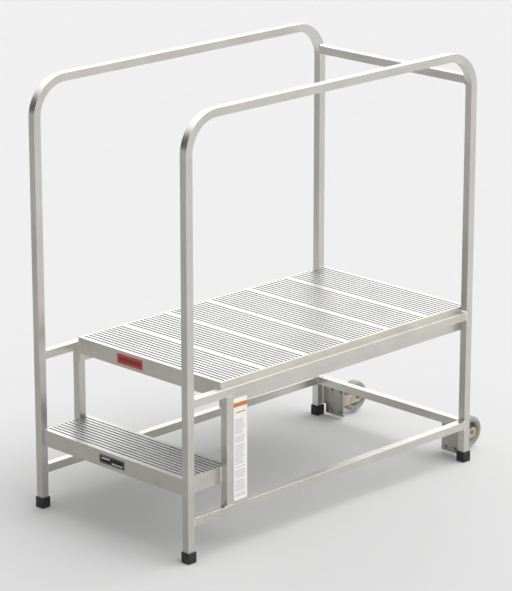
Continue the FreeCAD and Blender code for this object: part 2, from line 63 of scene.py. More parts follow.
camera = bpy.data.objects.new("camera", bpy.data.cameras.new("camera"))
camera.data.lens = 178.33
camera.location = camera_aim + camera_distance * camera_back
camera.rotation_euler = (math.pi / 2 - elevation, 0, azimuth)
camera.data.clip_end = 200
bpy.context.scene.collection.objects.link(camera)
bpy.context.scene.camera = camera
bpy.context.scene.view_settings.view_transform = "Standard"

# ---- floor and studio light ---------------------------------------------------------------------
# A pale floor that reaches past the horizon, painted a touch darker near the platform as shade, a bright
# room all round and one wide soft light from above and behind, which leaves the step side in shade.


def node(tree, kind, inputs=None, **settings):
    """Add a shader node; its inputs are numbers, colours, or the sockets that feed them."""
    made = tree.nodes.new(kind)
    for name, value in settings.items():
        setattr(made, name, value)
    for key, value in (inputs or {}).items():
        if isinstance(value, bpy.types.NodeSocket):
            tree.links.new(value, made.inputs[key])
        else:
            made.inputs[key].default_value = value
    return made


def new_material(name):
    """An empty material; returns it and its node tree."""
    material = bpy.data.materials.new(name)
    material.use_nodes = True
    material.node_tree.nodes.clear()
    return material, material.node_tree


def object_place(tree):
    """The place on the piece that a pattern follows, in metres."""
    return node(tree, "ShaderNodeTexCoord").outputs["Object"]


def noise(tree, place, per_metre, detail, roughness=0.5, output="Fac"):
    """Noise with so many lumps a metre."""
    inputs = {"Vector": place, "Scale": per_metre, "Detail": detail, "Roughness": roughness}
    return node(tree, "ShaderNodeTexNoise", inputs).outputs[output]


def mixed(tree, share, first, second):
    """Two colours mixed by a share, each a colour or a socket."""
    return node(tree, "ShaderNodeMix", {0: share, 6: first, 7: second}, data_type="RGBA").outputs[2]


def scaled(tree, value, from_low, from_high, to_low=0.0, to_high=1.0, **settings):
    """A value carried from one range to another."""
    inputs = {"Value": value, "From Min": from_low, "From Max": from_high}
    inputs |= {"To Min": to_low, "To Max": to_high}
    return node(tree, "ShaderNodeMapRange", inputs, **settings).outputs[0]


def arithmetic(tree, operation, *values, clamp=False):
    """One step of arithmetic on numbers and sockets; clamp keeps its result between 0 and 1."""
    inputs = dict(enumerate(values))
    return node(tree, "ShaderNodeMath", inputs, operation=operation, use_clamp=clamp).outputs[0]


def surfaced(material, bump=None, **inputs):
    """Give a material its shader, with inputs by name.

    A bump is a height socket, the height's real size in metres, and a strength.
    """
    tree = material.node_tree
    spelled = {name.replace("_", " "): value for name, value in inputs.items()}
    shader = node(tree, "ShaderNodeBsdfPrincipled", spelled)
    if bump:
        raised = node(tree, "ShaderNodeBump", dict(zip(("Height", "Distance", "Strength"), bump)))
        tree.links.new(raised.outputs[0], shader.inputs["Normal"])
    node(tree, "ShaderNodeOutputMaterial", {"Surface": shader.outputs[0]})
    return material


def floor_paint():
    """Pale matt paint with painted shade: a touch darker near the platform than far away."""
    material, tree = new_material("floor_paint")
    place = object_place(tree)
    # Painted shade: the floor's tone darkens towards this point near the platform.
    painted_shade_centre = (0.5, -0.9, 0)
    reach = node(tree, "ShaderNodeVectorMath", {0: place, 1: painted_shade_centre}, operation="DISTANCE")
    far = scaled(tree, reach.outputs["Value"], 0.2, 2.0, interpolation_type="SMOOTHSTEP")
    tone = mixed(tree, far, (0.72, 0.72, 0.72, 1), (0.82, 0.82, 0.82, 1))
    spread = mixed(tree, 0.015, tone, noise(tree, place, 9.0, 4.0, output="Color"))
    return surfaced(material, Base_Color=spread, Roughness=0.9, Specular_IOR_Level=0.1)


floor_reach = 40.0
floor_mesh = bpy.data.meshes.new("floor")
floor_corners = [(-1, -1), (1, -1), (1, 1), (-1, 1)]
floor_mesh.from_pydata([(x * floor_reach, y * floor_reach, 0) for x, y in floor_corners], [], [(0, 1, 2, 3)])
floor_mesh.materials.append(floor_paint())
floor = bpy.data.objects.new("floor", floor_mesh)
bpy.context.scene.collection.objects.link(floor)

room = bpy.data.worlds.new("room")
bpy.context.scene.world = room
room.use_nodes = True
room.node_tree.nodes.clear()
room.cycles.sampling_method = "NONE"
room_tree = room.node_tree
room_direction = node(room_tree, "ShaderNodeTexCoord").outputs["Generated"]


def facing_share(from_azimuth, low=0.1, high=0.9):
    """How far the room's direction turns towards an azimuth, as 0 at the low cosine and 1 at the high."""
    towards = (math.sin(math.radians(from_azimuth)), -math.cos(math.radians(from_azimuth)), 0)
    inputs = {0: room_direction, 1: towards}
    cosine = node(room_tree, "ShaderNodeVectorMath", inputs, operation="DOT_PRODUCT")
    return scaled(room_tree, cosine.outputs["Value"], low, high, interpolation_type="SMOOTHSTEP")


# The metal mirrors a room of more contrast than the one that lights it: a brighter window behind on
# the left, a brighter ceiling, and a darker wall at the front left.
room_height = node(room_tree, "ShaderNodeSeparateXYZ", {0: room_direction}).outputs["Z"]
low_down = scaled(room_tree, room_height, 0.75, 0.1)
high_up = scaled(room_tree, room_height, 0.36, 0.82, interpolation_type="SMOOTHSTEP")
below = arithmetic(room_tree, "SUBTRACT", 1.0, high_up)
window = arithmetic(room_tree, "MULTIPLY", facing_share(225), low_down)
shade = arithmetic(room_tree, "MULTIPLY", facing_share(-45), below)
wall = 0.56
lit = arithmetic(room_tree, "MULTIPLY_ADD", window, 1.1, wall)
mirrored = arithmetic(room_tree, "MULTIPLY_ADD", window, 1.4, wall)
mirrored = arithmetic(room_tree, "MULTIPLY_ADD", high_up, 1.5, mirrored)
mirrored = arithmetic(room_tree, "MULTIPLY_ADD", shade, -0.5, mirrored)
in_metal = node(room_tree, "ShaderNodeLightPath").outputs["Is Glossy Ray"]
strength = node(room_tree, "ShaderNodeMix", {0: in_metal, 2: lit, 3: mirrored}, data_type="FLOAT").outputs[0]
room_light = node(room_tree, "ShaderNodeBackground", {"Color": (1, 1, 1, 1), "Strength": strength})
node(room_tree, "ShaderNodeOutputWorld", {"Surface": room_light.outputs[0]})


def soft_light(name, strength, width_degrees, from_azimuth, from_elevation):
    """A distant light as wide as a softbox, from a direction given as the camera's is."""
    light = bpy.data.lights.new(name, "SUN")
    light.energy = strength
    light.angle = math.radians(width_degrees)
    lamp = bpy.data.objects.new(name, light)
    lamp.rotation_euler = (math.radians(90 - from_elevation), 0, math.radians(from_azimuth))
    bpy.context.scene.collection.objects.link(lamp)


soft_light("overhead", strength=1.55, width_degrees=62, from_azimuth=128, from_elevation=58)

# A dark sheet lies on the floor at the front left, where the camera does not look: painted shade that
# only reflections see, which keeps the faces towards the step a tone below the sides.
shade_sheet_left, shade_sheet_right, shade_sheet_near, shade_sheet_far, shade_sheet_height = -9.0, 0.30, -9.0, -0.74, 0.001
shade_sheet_corners = [(x, shade_sheet_near, shade_sheet_height) for x in (shade_sheet_left, shade_sheet_right)]
shade_sheet_corners += [(x, shade_sheet_far, shade_sheet_height) for x in (shade_sheet_right, shade_sheet_left)]
shade_sheet_mesh = bpy.data.meshes.new("reflected_shade_sheet")
shade_sheet_mesh.from_pydata(shade_sheet_corners, [], [(0, 1, 2, 3)])


def shade_sheet_tone():
    """Dark grey painted shade for reflections, uneven in soft patches."""
    material, tree = new_material("reflected_shade_sheet")
    tone_patches = noise(tree, object_place(tree), 1.5, 3.0)
    tone = mixed(tree, tone_patches, (0.40, 0.40, 0.40, 1), (0.50, 0.50, 0.49, 1))
    return surfaced(material, Base_Color=tone, Roughness=0.95)


shade_sheet_mesh.materials.append(shade_sheet_tone())
# The sheet of painted shade, hidden from the camera, from diffuse light and from shadows.
shade_sheet = bpy.data.objects.new("reflected_shade_sheet", shade_sheet_mesh)
for ray in ("camera", "diffuse", "shadow", "transmission", "volume_scatter"):
    setattr(shade_sheet, f"visible_{ray}", False)
bpy.context.scene.collection.objects.link(shade_sheet)

# ---- aluminium ----------------------------------------------------------------------------------
# Mill finish: extruded or drawn metal with fine lines along its length, clouded by handling, and
# polished a little along the edges that are knocked. Lines follow each piece's own UV map in metres.


def new_group(name, inputs, outputs):
    """A shader node group; inputs give each socket's type and default, outputs its type."""
    tree = bpy.data.node_groups.new(name, "ShaderNodeTree")
    for label, (kind, value) in inputs.items():
        socket = tree.interface.new_socket(label, in_out="INPUT", socket_type=kind)
        if value is not None:
            socket.default_value = value
    for label, kind in outputs.items():
        tree.interface.new_socket(label, in_out="OUTPUT", socket_type=kind)
    return tree, tree.nodes.new("NodeGroupInput").outputs, tree.nodes.new("NodeGroupOutput").inputs


def drawn_lines_group():
    """Fine lines along V, and slow clouds of tone: stretched noise over the UV map and noise in space."""
    inputs = {"Lines per metre": ("NodeSocketFloat", 1500.0), "Clouds per metre": ("NodeSocketFloat", 7.0)}
    outputs = {"Lines": "NodeSocketFloat", "Clouds": "NodeSocketFloat"}
    tree, given, result = new_group("drawn_lines", inputs, outputs)
    split = node(tree, "ShaderNodeSeparateXYZ", {0: node(tree, "ShaderNodeTexCoord").outputs["UV"]}).outputs
    across = arithmetic(tree, "MULTIPLY", split["X"], given["Lines per metre"])
    along = arithmetic(tree, "MULTIPLY", split["Y"], 6.0)
    stretched = node(tree, "ShaderNodeCombineXYZ", {"X": across, "Y": along}).outputs[0]
    tree.links.new(noise(tree, stretched, 1.0, 3.0), result["Lines"])
    tree.links.new(noise(tree, object_place(tree), given["Clouds per metre"], 5.0, 0.6), result["Clouds"])
    return tree


def edge_wear_group():
    """The piece's own edge attribute, broken up by noise, as a mask of where knocks have polished it."""
    inputs = {"Amount": ("NodeSocketFloat", 0.6), "Breaks per metre": ("NodeSocketFloat", 90.0)}
    tree, given, result = new_group("edge_wear", inputs, {"Mask": "NodeSocketFloat"})
    edge = node(tree, "ShaderNodeAttribute", attribute_name="edge").outputs["Fac"]
    breaks = noise(tree, object_place(tree), given["Breaks per metre"], 4.0)
    broken = arithmetic(tree, "MULTIPLY", edge, scaled(tree, breaks, 0.38, 0.62))
    tree.links.new(arithmetic(tree, "MULTIPLY", broken, given["Amount"], clamp=True), result["Mask"])
    return tree


def dust_group():
    """Dust that settles on upward faces, in specks and in slow drifts, as a mask."""
    inputs = {"Amount": ("NodeSocketFloat", 0.3), "Specks per metre": ("NodeSocketFloat", 260.0)}
    tree, given, result = new_group("settled_dust", inputs, {"Mask": "NodeSocketFloat"})
    facing = node(tree, "ShaderNodeNewGeometry").outputs["Normal"]
    up = node(tree, "ShaderNodeSeparateXYZ", {0: facing}).outputs["Z"]
    place = object_place(tree)
    specks, drifts = noise(tree, place, given["Specks per metre"], 6.0), noise(tree, place, 5.0, 3.0)
    fine = arithmetic(tree, "MULTIPLY", specks, drifts)
    lying = arithmetic(tree, "MULTIPLY", fine, arithmetic(tree, "MAXIMUM", up, 0.0))
    tree.links.new(arithmetic(tree, "MULTIPLY", lying, given["Amount"], clamp=True), result["Mask"])
    return tree


drawn_lines, edge_wear, settled_dust = drawn_lines_group(), edge_wear_group(), dust_group()
dust_grey = (0.52, 0.50, 0.46, 1)


def placed(tree, group, **values):
    """Put a node group in a material with its own values; returns its outputs."""
    made = node(tree, "ShaderNodeGroup", node_tree=group)
    for name, value in values.items():
        made.inputs[name.replace("_", " ")].default_value = value
    return made.outputs


def aluminium(name, dark, light, rough, lines, wear, dust):
    """Mill finish aluminium between two tones; lines a metre, wear on its edges and dust are given."""
    material, tree = new_material(name)
    grain = placed(tree, drawn_lines, Lines_per_metre=lines)
    worn = placed(tree, edge_wear, Amount=wear)["Mask"]
    dusty = placed(tree, settled_dust, Amount=dust)["Mask"]
    metal = mixed(tree, scaled(tree, grain["Clouds"], 0.3, 0.7), dark, light)
    streaks = scaled(tree, grain["Lines"], 0.35, 0.65, 0.0, 0.22)
    streaked = mixed(tree, streaks, metal, (0.52, 0.505, 0.47, 1))
    polished = mixed(tree, worn, streaked, (0.93, 0.93, 0.92, 1))
    dull = arithmetic(tree, "ADD", scaled(tree, grain["Lines"], 0.3, 0.7, *rough), dusty)
    bump = (grain["Lines"], 0.00004, 0.6)
    colour = mixed(tree, dusty, polished, dust_grey)
    return surfaced(material, bump, Base_Color=colour, Metallic=1.0, Roughness=dull)


tube_tones = (0.60, 0.585, 0.54, 1), (0.71, 0.69, 0.64, 1)
beam_tones = (0.60, 0.585, 0.54, 1), (0.71, 0.695, 0.645, 1)
tube_metal = aluminium("tube_aluminium", *tube_tones, rough=(0.25, 0.35), lines=1500.0, wear=0.5, dust=0.08)
beam_metal = aluminium("beam_aluminium", *beam_tones, rough=(0.28, 0.40), lines=1200.0, wear=0.6, dust=0.10)

# ---- guardrail hoops ----------------------------------------------------------------------------
# Each hoop is one square tube bent twice, with both legs. The metal is drawn, so the finish runs
# round the bends with the tube, and the corners keep the small radius of the extrusion.


def unit(vectors):
    """Each vector over its own length."""
    return vectors / np.linalg.norm(vectors, axis=-1, keepdims=True)


def rounded_outline(corners, radii, steps=4):
    """A closed outline with round corners.

    Each corner becomes an arc whose centre lies on the corner's bisector, the radius over the sine of
    half the corner's angle away. Its points are the radius vectors to the two tangent points, mixed by
    sines so that they turn evenly from one to the other. Returns points and an edge value, which is 0
    where an arc meets the straight and 1 at its middle.
    """
    corners = np.asarray(corners, float)
    radii = np.broadcast_to(np.asarray(radii, float), len(corners))[:, None]
    before = unit(np.roll(corners, 1, axis=0) - corners)
    after = unit(np.roll(corners, -1, axis=0) - corners)
    half = np.arccos(np.clip((before * after).sum(axis=1, keepdims=True), -1, 1)) / 2
    centres = corners + unit(before + after) * radii / np.sin(half)
    first = corners + before * radii / np.tan(half) - centres
    last = corners + after * radii / np.tan(half) - centres
    turn = (math.pi - 2 * half)[:, :, None]
    share = np.linspace(0, 1, steps + 1)[None, :, None]
    arcs = first[:, None] * np.sin((1 - share) * turn) + last[:, None] * np.sin(share * turn)
    points = centres[:, None] + arcs / np.sin(turn)
    edge = np.broadcast_to(np.sin(math.pi * share[:, :, 0]), (len(corners), steps + 1))
    return points.reshape(-1, 2), edge.reshape(-1)


def point_values(mesh, name, values):
    """A number for each of a mesh's points, which its material reads by name."""
    mesh.attributes.new(name, "FLOAT", "POINT").data.foreach_set("value", values.astype(np.float32))


def new_piece(
    name, points, faces, uvs, finish, edge=None, body="root", slot="frame_aluminium", stands_for=()
):
    """A mesh piece on a body, with a UV pair for each face corner and an edge value for each point."""
    mesh = bpy.data.meshes.new(name)
    mesh.from_pydata(points.tolist(), [], faces)
    mesh.uv_layers.new(name="UVMap").uv.foreach_set("vector", np.asarray(uvs, np.float32).ravel())
    if edge is not None:
        point_values(mesh, "edge", edge)
    return finished_piece(name, mesh, finish, body, stands_for)


def finished_piece(name, mesh, material, body, stands_for):
    """Smooth the mesh except at its sharp edges, give it its finish and make it ride."""
    mesh.materials.append(material)
    mesh.polygons.foreach_set("use_smooth", np.ones(len(mesh.polygons), bool))
    mesh.set_sharp_from_angle(angle=math.radians(40))
    piece = bpy.data.objects.new(name, mesh)
    bpy.context.scene.collection.objects.link(piece)
    flat = piece.modifiers.new("flat_faces", "WEIGHTED_NORMAL")
    flat.keep_sharp = True
    if stands_for:
        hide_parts(*stands_for)
    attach(piece, body)
    return piece


def grid_faces(rows, columns, first=0):
    """Quads of a grid of points, row after row, whose last column joins its first."""
    row, column = np.meshgrid(np.arange(rows - 1), np.arange(columns), indexing="ij")
    following = (column + 1) % columns
    corners = [row * columns + column, row * columns + following, (row + 1) * columns + following]
    corners.append((row + 1) * columns + column)
    return np.stack(corners, axis=-1).reshape(-1, 4) + first


def grid_uvs(around, along):
    """The UV pairs of such quads, four to a quad: U steps along a row of points and V from row to row."""
    row, column = np.meshgrid(np.arange(len(along) - 1), np.arange(len(around) - 1), indexing="ij")
    u = np.stack([around[column], around[column + 1], around[column + 1], around[column]], axis=-1)
    v = np.stack([along[row], along[row], along[row + 1], along[row + 1]], axis=-1)
    return np.stack([u, v], axis=-1).reshape(-1, 4, 2)


def end_caps(rows, columns, first=0):
    """The two flat faces that close such a grid at its first row and its last."""
    last = first + (rows - 1) * columns
    return [list(range(first, first + columns))[::-1], list(range(last, last + columns))]


def travelled(points, closed=False):
    """The distance along a line of points to each of them, and back to the first where it is closed."""
    line = np.vstack([points, points[:1]]) if closed else points
    return np.concatenate([[0], np.cumsum(np.linalg.norm(np.diff(line, axis=0), axis=1))])


def carried(name, outline, edge, places, across, up, material, hollow=None, shift=0.0, **piece):
    """An outline carried along a path: point = place + x * across + y * up.

    U is the distance round the outline and V the distance along the path, in metres. The shift slides
    both, so that no two pieces have the same grain. A hollow is a second outline with as many points,
    which becomes the bore; without one the ends are closed flat.
    """
    places = np.asarray(places, float)
    across = np.broadcast_to(np.asarray(across, float), places.shape)
    up = np.broadcast_to(np.asarray(up, float), places.shape)
    count, rows = len(outline), len(places)
    along = travelled(places) + shift
    points, faces, uvs = [], [], []
    for number, loop in enumerate([outline] if hollow is None else [outline, hollow]):
        spread = loop[None, :, :1] * across[:, None] + loop[None, :, 1:] * up[:, None]
        points.append((places[:, None] + spread).reshape(-1, 3))
        order = -1 if number else 1
        faces += grid_faces(rows, count, number * rows * count)[:, ::order].tolist()
        uvs.append(grid_uvs(travelled(loop, closed=True) + shift, along)[:, ::order].reshape(-1, 2))
    if hollow is None:
        faces += end_caps(rows, count)
        uvs += [outline[::-1], outline]
    else:
        ring, after = np.arange(count), np.roll(np.arange(count), -1)
        inner, last = rows * count, (rows - 1) * count
        for first, second, row in ((after, ring, 0), (ring, after, last)):
            corners = np.stack([first, second, second + inner, first + inner], axis=-1) + row
            faces += corners.tolist()
            flat = [outline[first], outline[second], hollow[second], hollow[first]]
            uvs.append(np.stack(flat, axis=1).reshape(-1, 2))
    edges = np.tile(edge, rows * len(points))
    return new_piece(name, np.vstack(points), faces, np.vstack(uvs), material, edge=edges, **piece)


def square(width, radius, steps=4):
    """A square outline about its centre."""
    half = width / 2
    return rounded_outline([(-half, -half), (half, -half), (half, half), (-half, half)], radius, steps)


hoop_low, hoop_high = map(np.array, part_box("hoop_right"))
tube = hoop_high[0] - hoop_low[0]
tube_wall, tube_corner, bore_corner = 0.0032, 0.0011, 0.0004
tube_outline, tube_edge = square(tube, tube_corner)
tube_bore = square(tube - 2 * tube_wall, bore_corner)[0]


def tube_run(name, cad_node, places, across, up, shift):
    """A length of the frame's square tube along a path."""
    given = {"hollow": tube_bore, "shift": shift, "stands_for": [cad_node]}
    carried(name, tube_outline, tube_edge, places, across, up, tube_metal, **given)


bend_radius, bend_steps = 0.108, 28
turn = np.linspace(0, math.pi / 2, bend_steps + 1)
sine, cosine = np.sin(turn), np.cos(turn)
front, back = hoop_low[1] + tube / 2, hoop_high[1] - tube / 2
crown = hoop_high[2] - tube / 2
front_bend = np.stack([front + bend_radius * (1 - cosine), crown - bend_radius * (1 - sine)], axis=1)
back_bend = np.stack([back - bend_radius * (1 - sine), crown - bend_radius * (1 - cosine)], axis=1)
line = np.vstack([[(front, hoop_low[2])], front_bend, back_bend, [(back, hoop_low[2])]])
front_heading, back_heading = np.stack([sine, cosine], axis=1), np.stack([cosine, -sine], axis=1)
heading = np.vstack([[(0, 1)], front_heading, back_heading, [(0, -1)]])
inward = np.column_stack([np.zeros(len(line)), heading[:, 1], -heading[:, 0]])
for number, side in enumerate(("left", "right")):
    low, high = map(np.array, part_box(f"hoop_{side}"))
    places = np.column_stack([np.full(len(line), (low[0] + high[0]) / 2), line])
    tube_run(f"bent_hoop_{side}", f"hoop_{side}", places, (1, 0, 0), inward, shift=0.37 * number)

# ---- rails and posts ----------------------------------------------------------------------------
# Straight lengths of the same tube, cut square and butted between the legs: a rail each side under
# the deck and near the floor, two across the back, and a post each side at the front of the deck.

axis_frames = {0: ((0, 1, 0), (0, 0, 1)), 1: ((0, 0, 1), (1, 0, 0)), 2: ((1, 0, 0), (0, 1, 0))}


def straight_places(low, high, axis):
    """The two ends of a bar's centre line along one axis of its box."""
    middle = (low + high) / 2
    ends = np.tile(middle, (2, 1))
    ends[:, axis] = low[axis], high[axis]
    return ends


rails = ("deck_rail_left", "deck_rail_right", "lower_rail_left", "lower_rail_right")
straight_tubes = [(rail, 1) for rail in rails] + [("lower_rail_rear", 0), ("top_rail_rear", 0)]
straight_tubes += [("middle_post_left", 2), ("middle_post_right", 2)]
for number, (name, axis) in enumerate(straight_tubes):
    low, high = map(np.array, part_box(name))
    tube_run(f"{name}_tube", name, straight_places(low, high, axis), *axis_frames[axis], shift=0.61 * number)

# ---- deck and step beams ------------------------------------------------------------------------
# Aluminium bars hold the planks: deep flat ones along the sides of the deck, shallow ones along the
# step, and angles across the front and back of the deck and across the step. Their edges are broken.

beam_corner = 0.0006


def bar(name, corners, axis, shift):
    """A bar whose section is given in the two axes after its own, in order, as real places."""
    low, high = map(np.array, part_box(name))
    places = np.zeros((2, 3))
    places[:, axis] = low[axis], high[axis]
    outline, edge = rounded_outline(corners, beam_corner)
    given = {"shift": shift, "stands_for": [name]}
    carried(f"{name}_bar", outline, edge, places, *axis_frames[axis], beam_metal, **given)


def angle_corners(upright, tip, top, foot, thickness):
    """An angle's six corners: a plate down the face at upright, and a flange along the foot to tip."""
    inward = math.copysign(thickness, tip - upright)
    corners = [(upright, top), (upright, foot), (tip, foot), (tip, foot + thickness)]
    corners += [(upright + inward, foot + thickness), (upright + inward, top)]
    return corners if inward > 0 else corners[::-1]


face_plate = 0.003175
for number, name in enumerate(("deck_beam_left", "deck_beam_right", "step_beam_left", "step_beam_right")):
    low, high = map(np.array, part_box(name))
    corners = [(low[2], low[0]), (high[2], low[0]), (high[2], high[0]), (low[2], high[0])]
    bar(name, corners, 1, shift=0.43 * number)

for number, name in enumerate(("deck_face_front", "step_face_front", "deck_face_rear")):
    low, high = map(np.array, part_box(name))
    face, tip = (high[1], low[1]) if name == "deck_face_rear" else (low[1], high[1])
    bar(name, angle_corners(face, tip, high[2], low[2], face_plate), 0, shift=0.53 * number)

# ---- tread planks -------------------------------------------------------------------------------
# Six planks make the deck and one the step. Each is an extruded aluminium channel on four legs, with
# ten grooves along its top between flat lands, and the grooves are painted dark as shade.

groove_count = 10
groove_width, groove_depth, groove_lip = 0.0056, 0.0028, 0.0005
groove_margin = 0.0146625
plank_skin, plank_leg, plank_corner = 0.005, 0.003, 0.00045


def tread_metal():
    """Aluminium that is bright on the lands, with painted shade that darkens the grooves almost to black."""
    material, tree = new_material("tread_aluminium")
    grain = placed(tree, drawn_lines, Lines_per_metre=1100.0, Clouds_per_metre=11.0)
    worn = placed(tree, edge_wear, Amount=0.7, Breaks_per_metre=60.0)["Mask"]
    dusty = placed(tree, settled_dust, Amount=0.25)["Mask"]
    groove = node(tree, "ShaderNodeAttribute", attribute_name="groove").outputs["Fac"]
    clouds = scaled(tree, grain["Clouds"], 0.3, 0.7)
    metal = mixed(tree, clouds, (0.63, 0.63, 0.62, 1), (0.74, 0.74, 0.73, 1))
    streaked = mixed(tree, scaled(tree, grain["Lines"], 0.35, 0.65, 0.0, 0.2), metal, (0.55, 0.55, 0.54, 1))
    dusted = mixed(tree, dusty, mixed(tree, worn, streaked, (0.94, 0.94, 0.93, 1)), dust_grey)
    # Painted shade: the groove value darkens the tread towards near black.
    groove_painted_shade = mixed(tree, scaled(tree, groove, 0.0, 1.0, 0.0, 0.92), dusted, (0.10, 0.10, 0.11, 1))
    rough = arithmetic(tree, "MAXIMUM", scaled(tree, grain["Lines"], 0.3, 0.7, 0.34, 0.46), groove)
    bump = (grain["Lines"], 0.00004, 0.5)
    return surfaced(material, bump, Base_Color=groove_painted_shade, Metallic=1.0, Roughness=rough)


tread = tread_metal()


def plank_corners(low, high):
    """A plank's section as Y, Z corners: along the underside round its legs, then back over the grooves."""
    width = high[1] - low[1]
    foot, top, under = low[2], high[2], high[2] - plank_skin
    legs = np.array([plank_leg / 2, width / 3, 2 * width / 3, width - plank_leg / 2])
    near = low[1] + legs - plank_leg / 2
    under_y = np.stack([near, near, near + plank_leg, near + plank_leg], axis=1).ravel()[1:-1]
    under_z = np.tile([under, foot, foot, under], 4)[1:-1]
    first = low[1] + groove_margin
    starts = np.linspace(first, high[1] - groove_margin - groove_width, groove_count)[::-1]
    groove_y = np.stack([starts + groove_width, starts + groove_width, starts, starts], axis=1).ravel()
    groove_z = np.tile([top, top - groove_depth, top - groove_depth, top], groove_count)
    y = np.concatenate([under_y, [high[1]], groove_y, [low[1]]])
    z = np.concatenate([under_z, [top], groove_z, [top]])
    return np.stack([y, z], axis=1)


def plank(name, shift):
    """One plank along its box, with an attribute that is 1 in its grooves and 0 on its lands."""
    low, high = map(np.array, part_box(name))
    outline, edge = rounded_outline(plank_corners(low, high), plank_corner, steps=3)
    places = np.zeros((2, 3))
    places[:, 0] = low[0], high[0]
    given = {"shift": shift, "slot": "deck_aluminium", "stands_for": [name]}
    piece = carried(f"{name}_tread", outline, edge, places, *axis_frames[0], tread, **given)
    inside = (outline[:, 0] > low[1] + groove_margin / 2) & (outline[:, 0] < high[1] - groove_margin / 2)
    # The groove value marks where the tread is painted dark as shade.
    sunk = np.clip((high[2] - outline[:, 1]) / groove_lip, 0, 1) * inside
    values = np.tile(np.where(outline[:, 1] > high[2] - 1.5 * groove_depth, sunk, 0), 2)
    point_values(piece.data, "groove", values)


for number in range(6):
    plank(f"deck_plank_{number + 1}", shift=0.71 * number)
plank("step_plank", shift=0.17)

# ---- rubber feet --------------------------------------------------------------------------------
# Black moulded cups pushed over the ends of the legs: square outside with soft corners, a rounded
# lip, a shallow groove under the lip, and rings moulded into the sole.


def rubber(name, base, bloom, rough):
    """Moulded rubber: a pebbled skin, scuffs on its edges and a grey bloom in patches."""
    material, tree = new_material(name)
    place = object_place(tree)
    pebbles = node(tree, "ShaderNodeTexVoronoi", {"Vector": place, "Scale": 1400.0}).outputs["Distance"]
    patches = noise(tree, place, 60.0, 6.0)
    scuffed = placed(tree, edge_wear, Amount=0.35, Breaks_per_metre=240.0)["Mask"]
    dusty = placed(tree, settled_dust, Amount=0.5)["Mask"]
    clouded = mixed(tree, scaled(tree, patches, 0.45, 0.75, 0.0, 0.6), base, bloom)
    colour = mixed(tree, dusty, mixed(tree, scuffed, clouded, bloom), (0.42, 0.40, 0.37, 1))
    dull = scaled(tree, patches, 0.3, 0.7, rough - 0.08, rough + 0.08)
    return surfaced(material, (pebbles, 0.0001, 0.35), Base_Color=colour, Roughness=dull)


black_rubber = rubber("black_rubber", (0.012, 0.012, 0.012, 1), (0.05, 0.05, 0.05, 1), 0.62)


def square_rings(name, centre, halves, radii, heights, steps, material, **piece):
    """A shell of rounded squares stacked up: ring k has a half width, a corner radius and a height.

    Each ring runs round its four corners, a quarter arc each, at half width less radius from the
    centre plus radius times the direction.
    """
    angles = np.linspace(0, math.pi / 2, steps + 1)[None, :] + np.arange(4)[:, None] * math.pi / 2
    signs = np.sign(np.stack([np.cos(angles[:, steps // 2]), np.sin(angles[:, steps // 2])], axis=-1))
    directions = np.stack([np.cos(angles), np.sin(angles)], axis=-1)
    middles = (halves - radii)[:, None, None, None] * signs[None, :, None]
    flat = middles + radii[:, None, None, None] * directions
    flat = flat.reshape(len(halves), -1, 2)
    count = flat.shape[1]
    points = np.dstack([flat, np.tile(heights[:, None], count)]).reshape(-1, 3) + centre
    faces = grid_faces(len(halves), count).tolist() + end_caps(len(halves), count)
    around = np.linspace(0, 8 * halves.max(), count + 1)
    pairs = grid_uvs(around, travelled(np.column_stack([halves, heights]))).reshape(-1, 2)
    uvs = np.vstack([pairs, flat[0][::-1], flat[-1]])
    edge = np.tile(np.sin(np.linspace(0, math.pi, steps + 1)), 4 * len(halves))
    return new_piece(name, points, faces, uvs, material, edge=edge, **piece)


sole_rings = np.array([0.3, 0.36, 0.38, 0.44, 0.62, 0.68, 0.70, 0.76])
sole_groove, cup_steps = 0.0012, 6
cup_draft, sole_round, lip_round = 0.0003, 0.0016, 0.0012
groove_inset, groove_levels = 0.0009, (0.0088, 0.0080, 0.0076, 0.0062, 0.0056)
leg_clearance, socket_depth = 0.0001, 0.004
corner_share, least_corner, most_corner = 0.16, 0.0004, 0.0024
quarter = np.linspace(0, math.pi / 2, 5)
for name in ("foot_front_left", "foot_front_right", "foot_rear_left", "foot_rear_right"):
    low, high = map(np.array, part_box(name))
    centre = np.array([*(low + high)[:2] / 2, 0])
    half, height, socket = (high[0] - low[0]) / 2, high[2], tube / 2 + leg_clearance
    halves = [sole_rings * half, half - cup_draft - sole_round * (1 - np.sin(quarter))]
    halves += [half - np.array([0.0001, 0.0001, groove_inset, groove_inset, 0])]
    halves += [half - lip_round * (1 - np.cos(quarter)), [socket, socket]]
    heights = [sole_groove * np.array([0, 0, 1, 1, 1, 1, 0, 0]), sole_round * (1 - np.cos(quarter))]
    heights += [height - np.array(groove_levels), height - lip_round * (1 - np.sin(quarter))]
    heights += [[height, height - socket_depth]]
    halves, heights = np.concatenate(halves), np.concatenate(heights)
    corner_radii = np.clip(halves * corner_share, least_corner, most_corner)
    given = {"slot": "rubber_feet", "stands_for": [name]}
    square_rings(f"{name}_cup", centre, halves, corner_radii, heights, cup_steps, black_rubber, **given)

# ---- weld beads ---------------------------------------------------------------------------------
# The frame is welded by hand with filler rod. A fillet lies in each inside corner where a tube meets
# another, and a low bead crosses each joint whose faces are flush. The metal froze in overlapping scales.

bead_leg, flush_bead_height = 0.0032, 0.0007
bead_scale, bead_rows_per_scale, bead_columns = 0.0024, 5, 7
bead_taper, bead_swell, bead_bow, bead_flattening = 0.0015, 0.13, 0.4, 0.12


def weld_metal():
    """Bright weld metal, mottled by the heat."""
    material, tree = new_material("weld_aluminium")
    mottle = noise(tree, object_place(tree), 420.0, 5.0)
    colour = mixed(tree, scaled(tree, mottle, 0.35, 0.65), (0.62, 0.60, 0.57, 1), (0.80, 0.79, 0.77, 1))
    rough = scaled(tree, mottle, 0.3, 0.7, 0.30, 0.48)
    return surfaced(material, (mottle, 0.0001, 0.3), Base_Color=colour, Metallic=1.0, Roughness=rough)


weld = weld_metal()


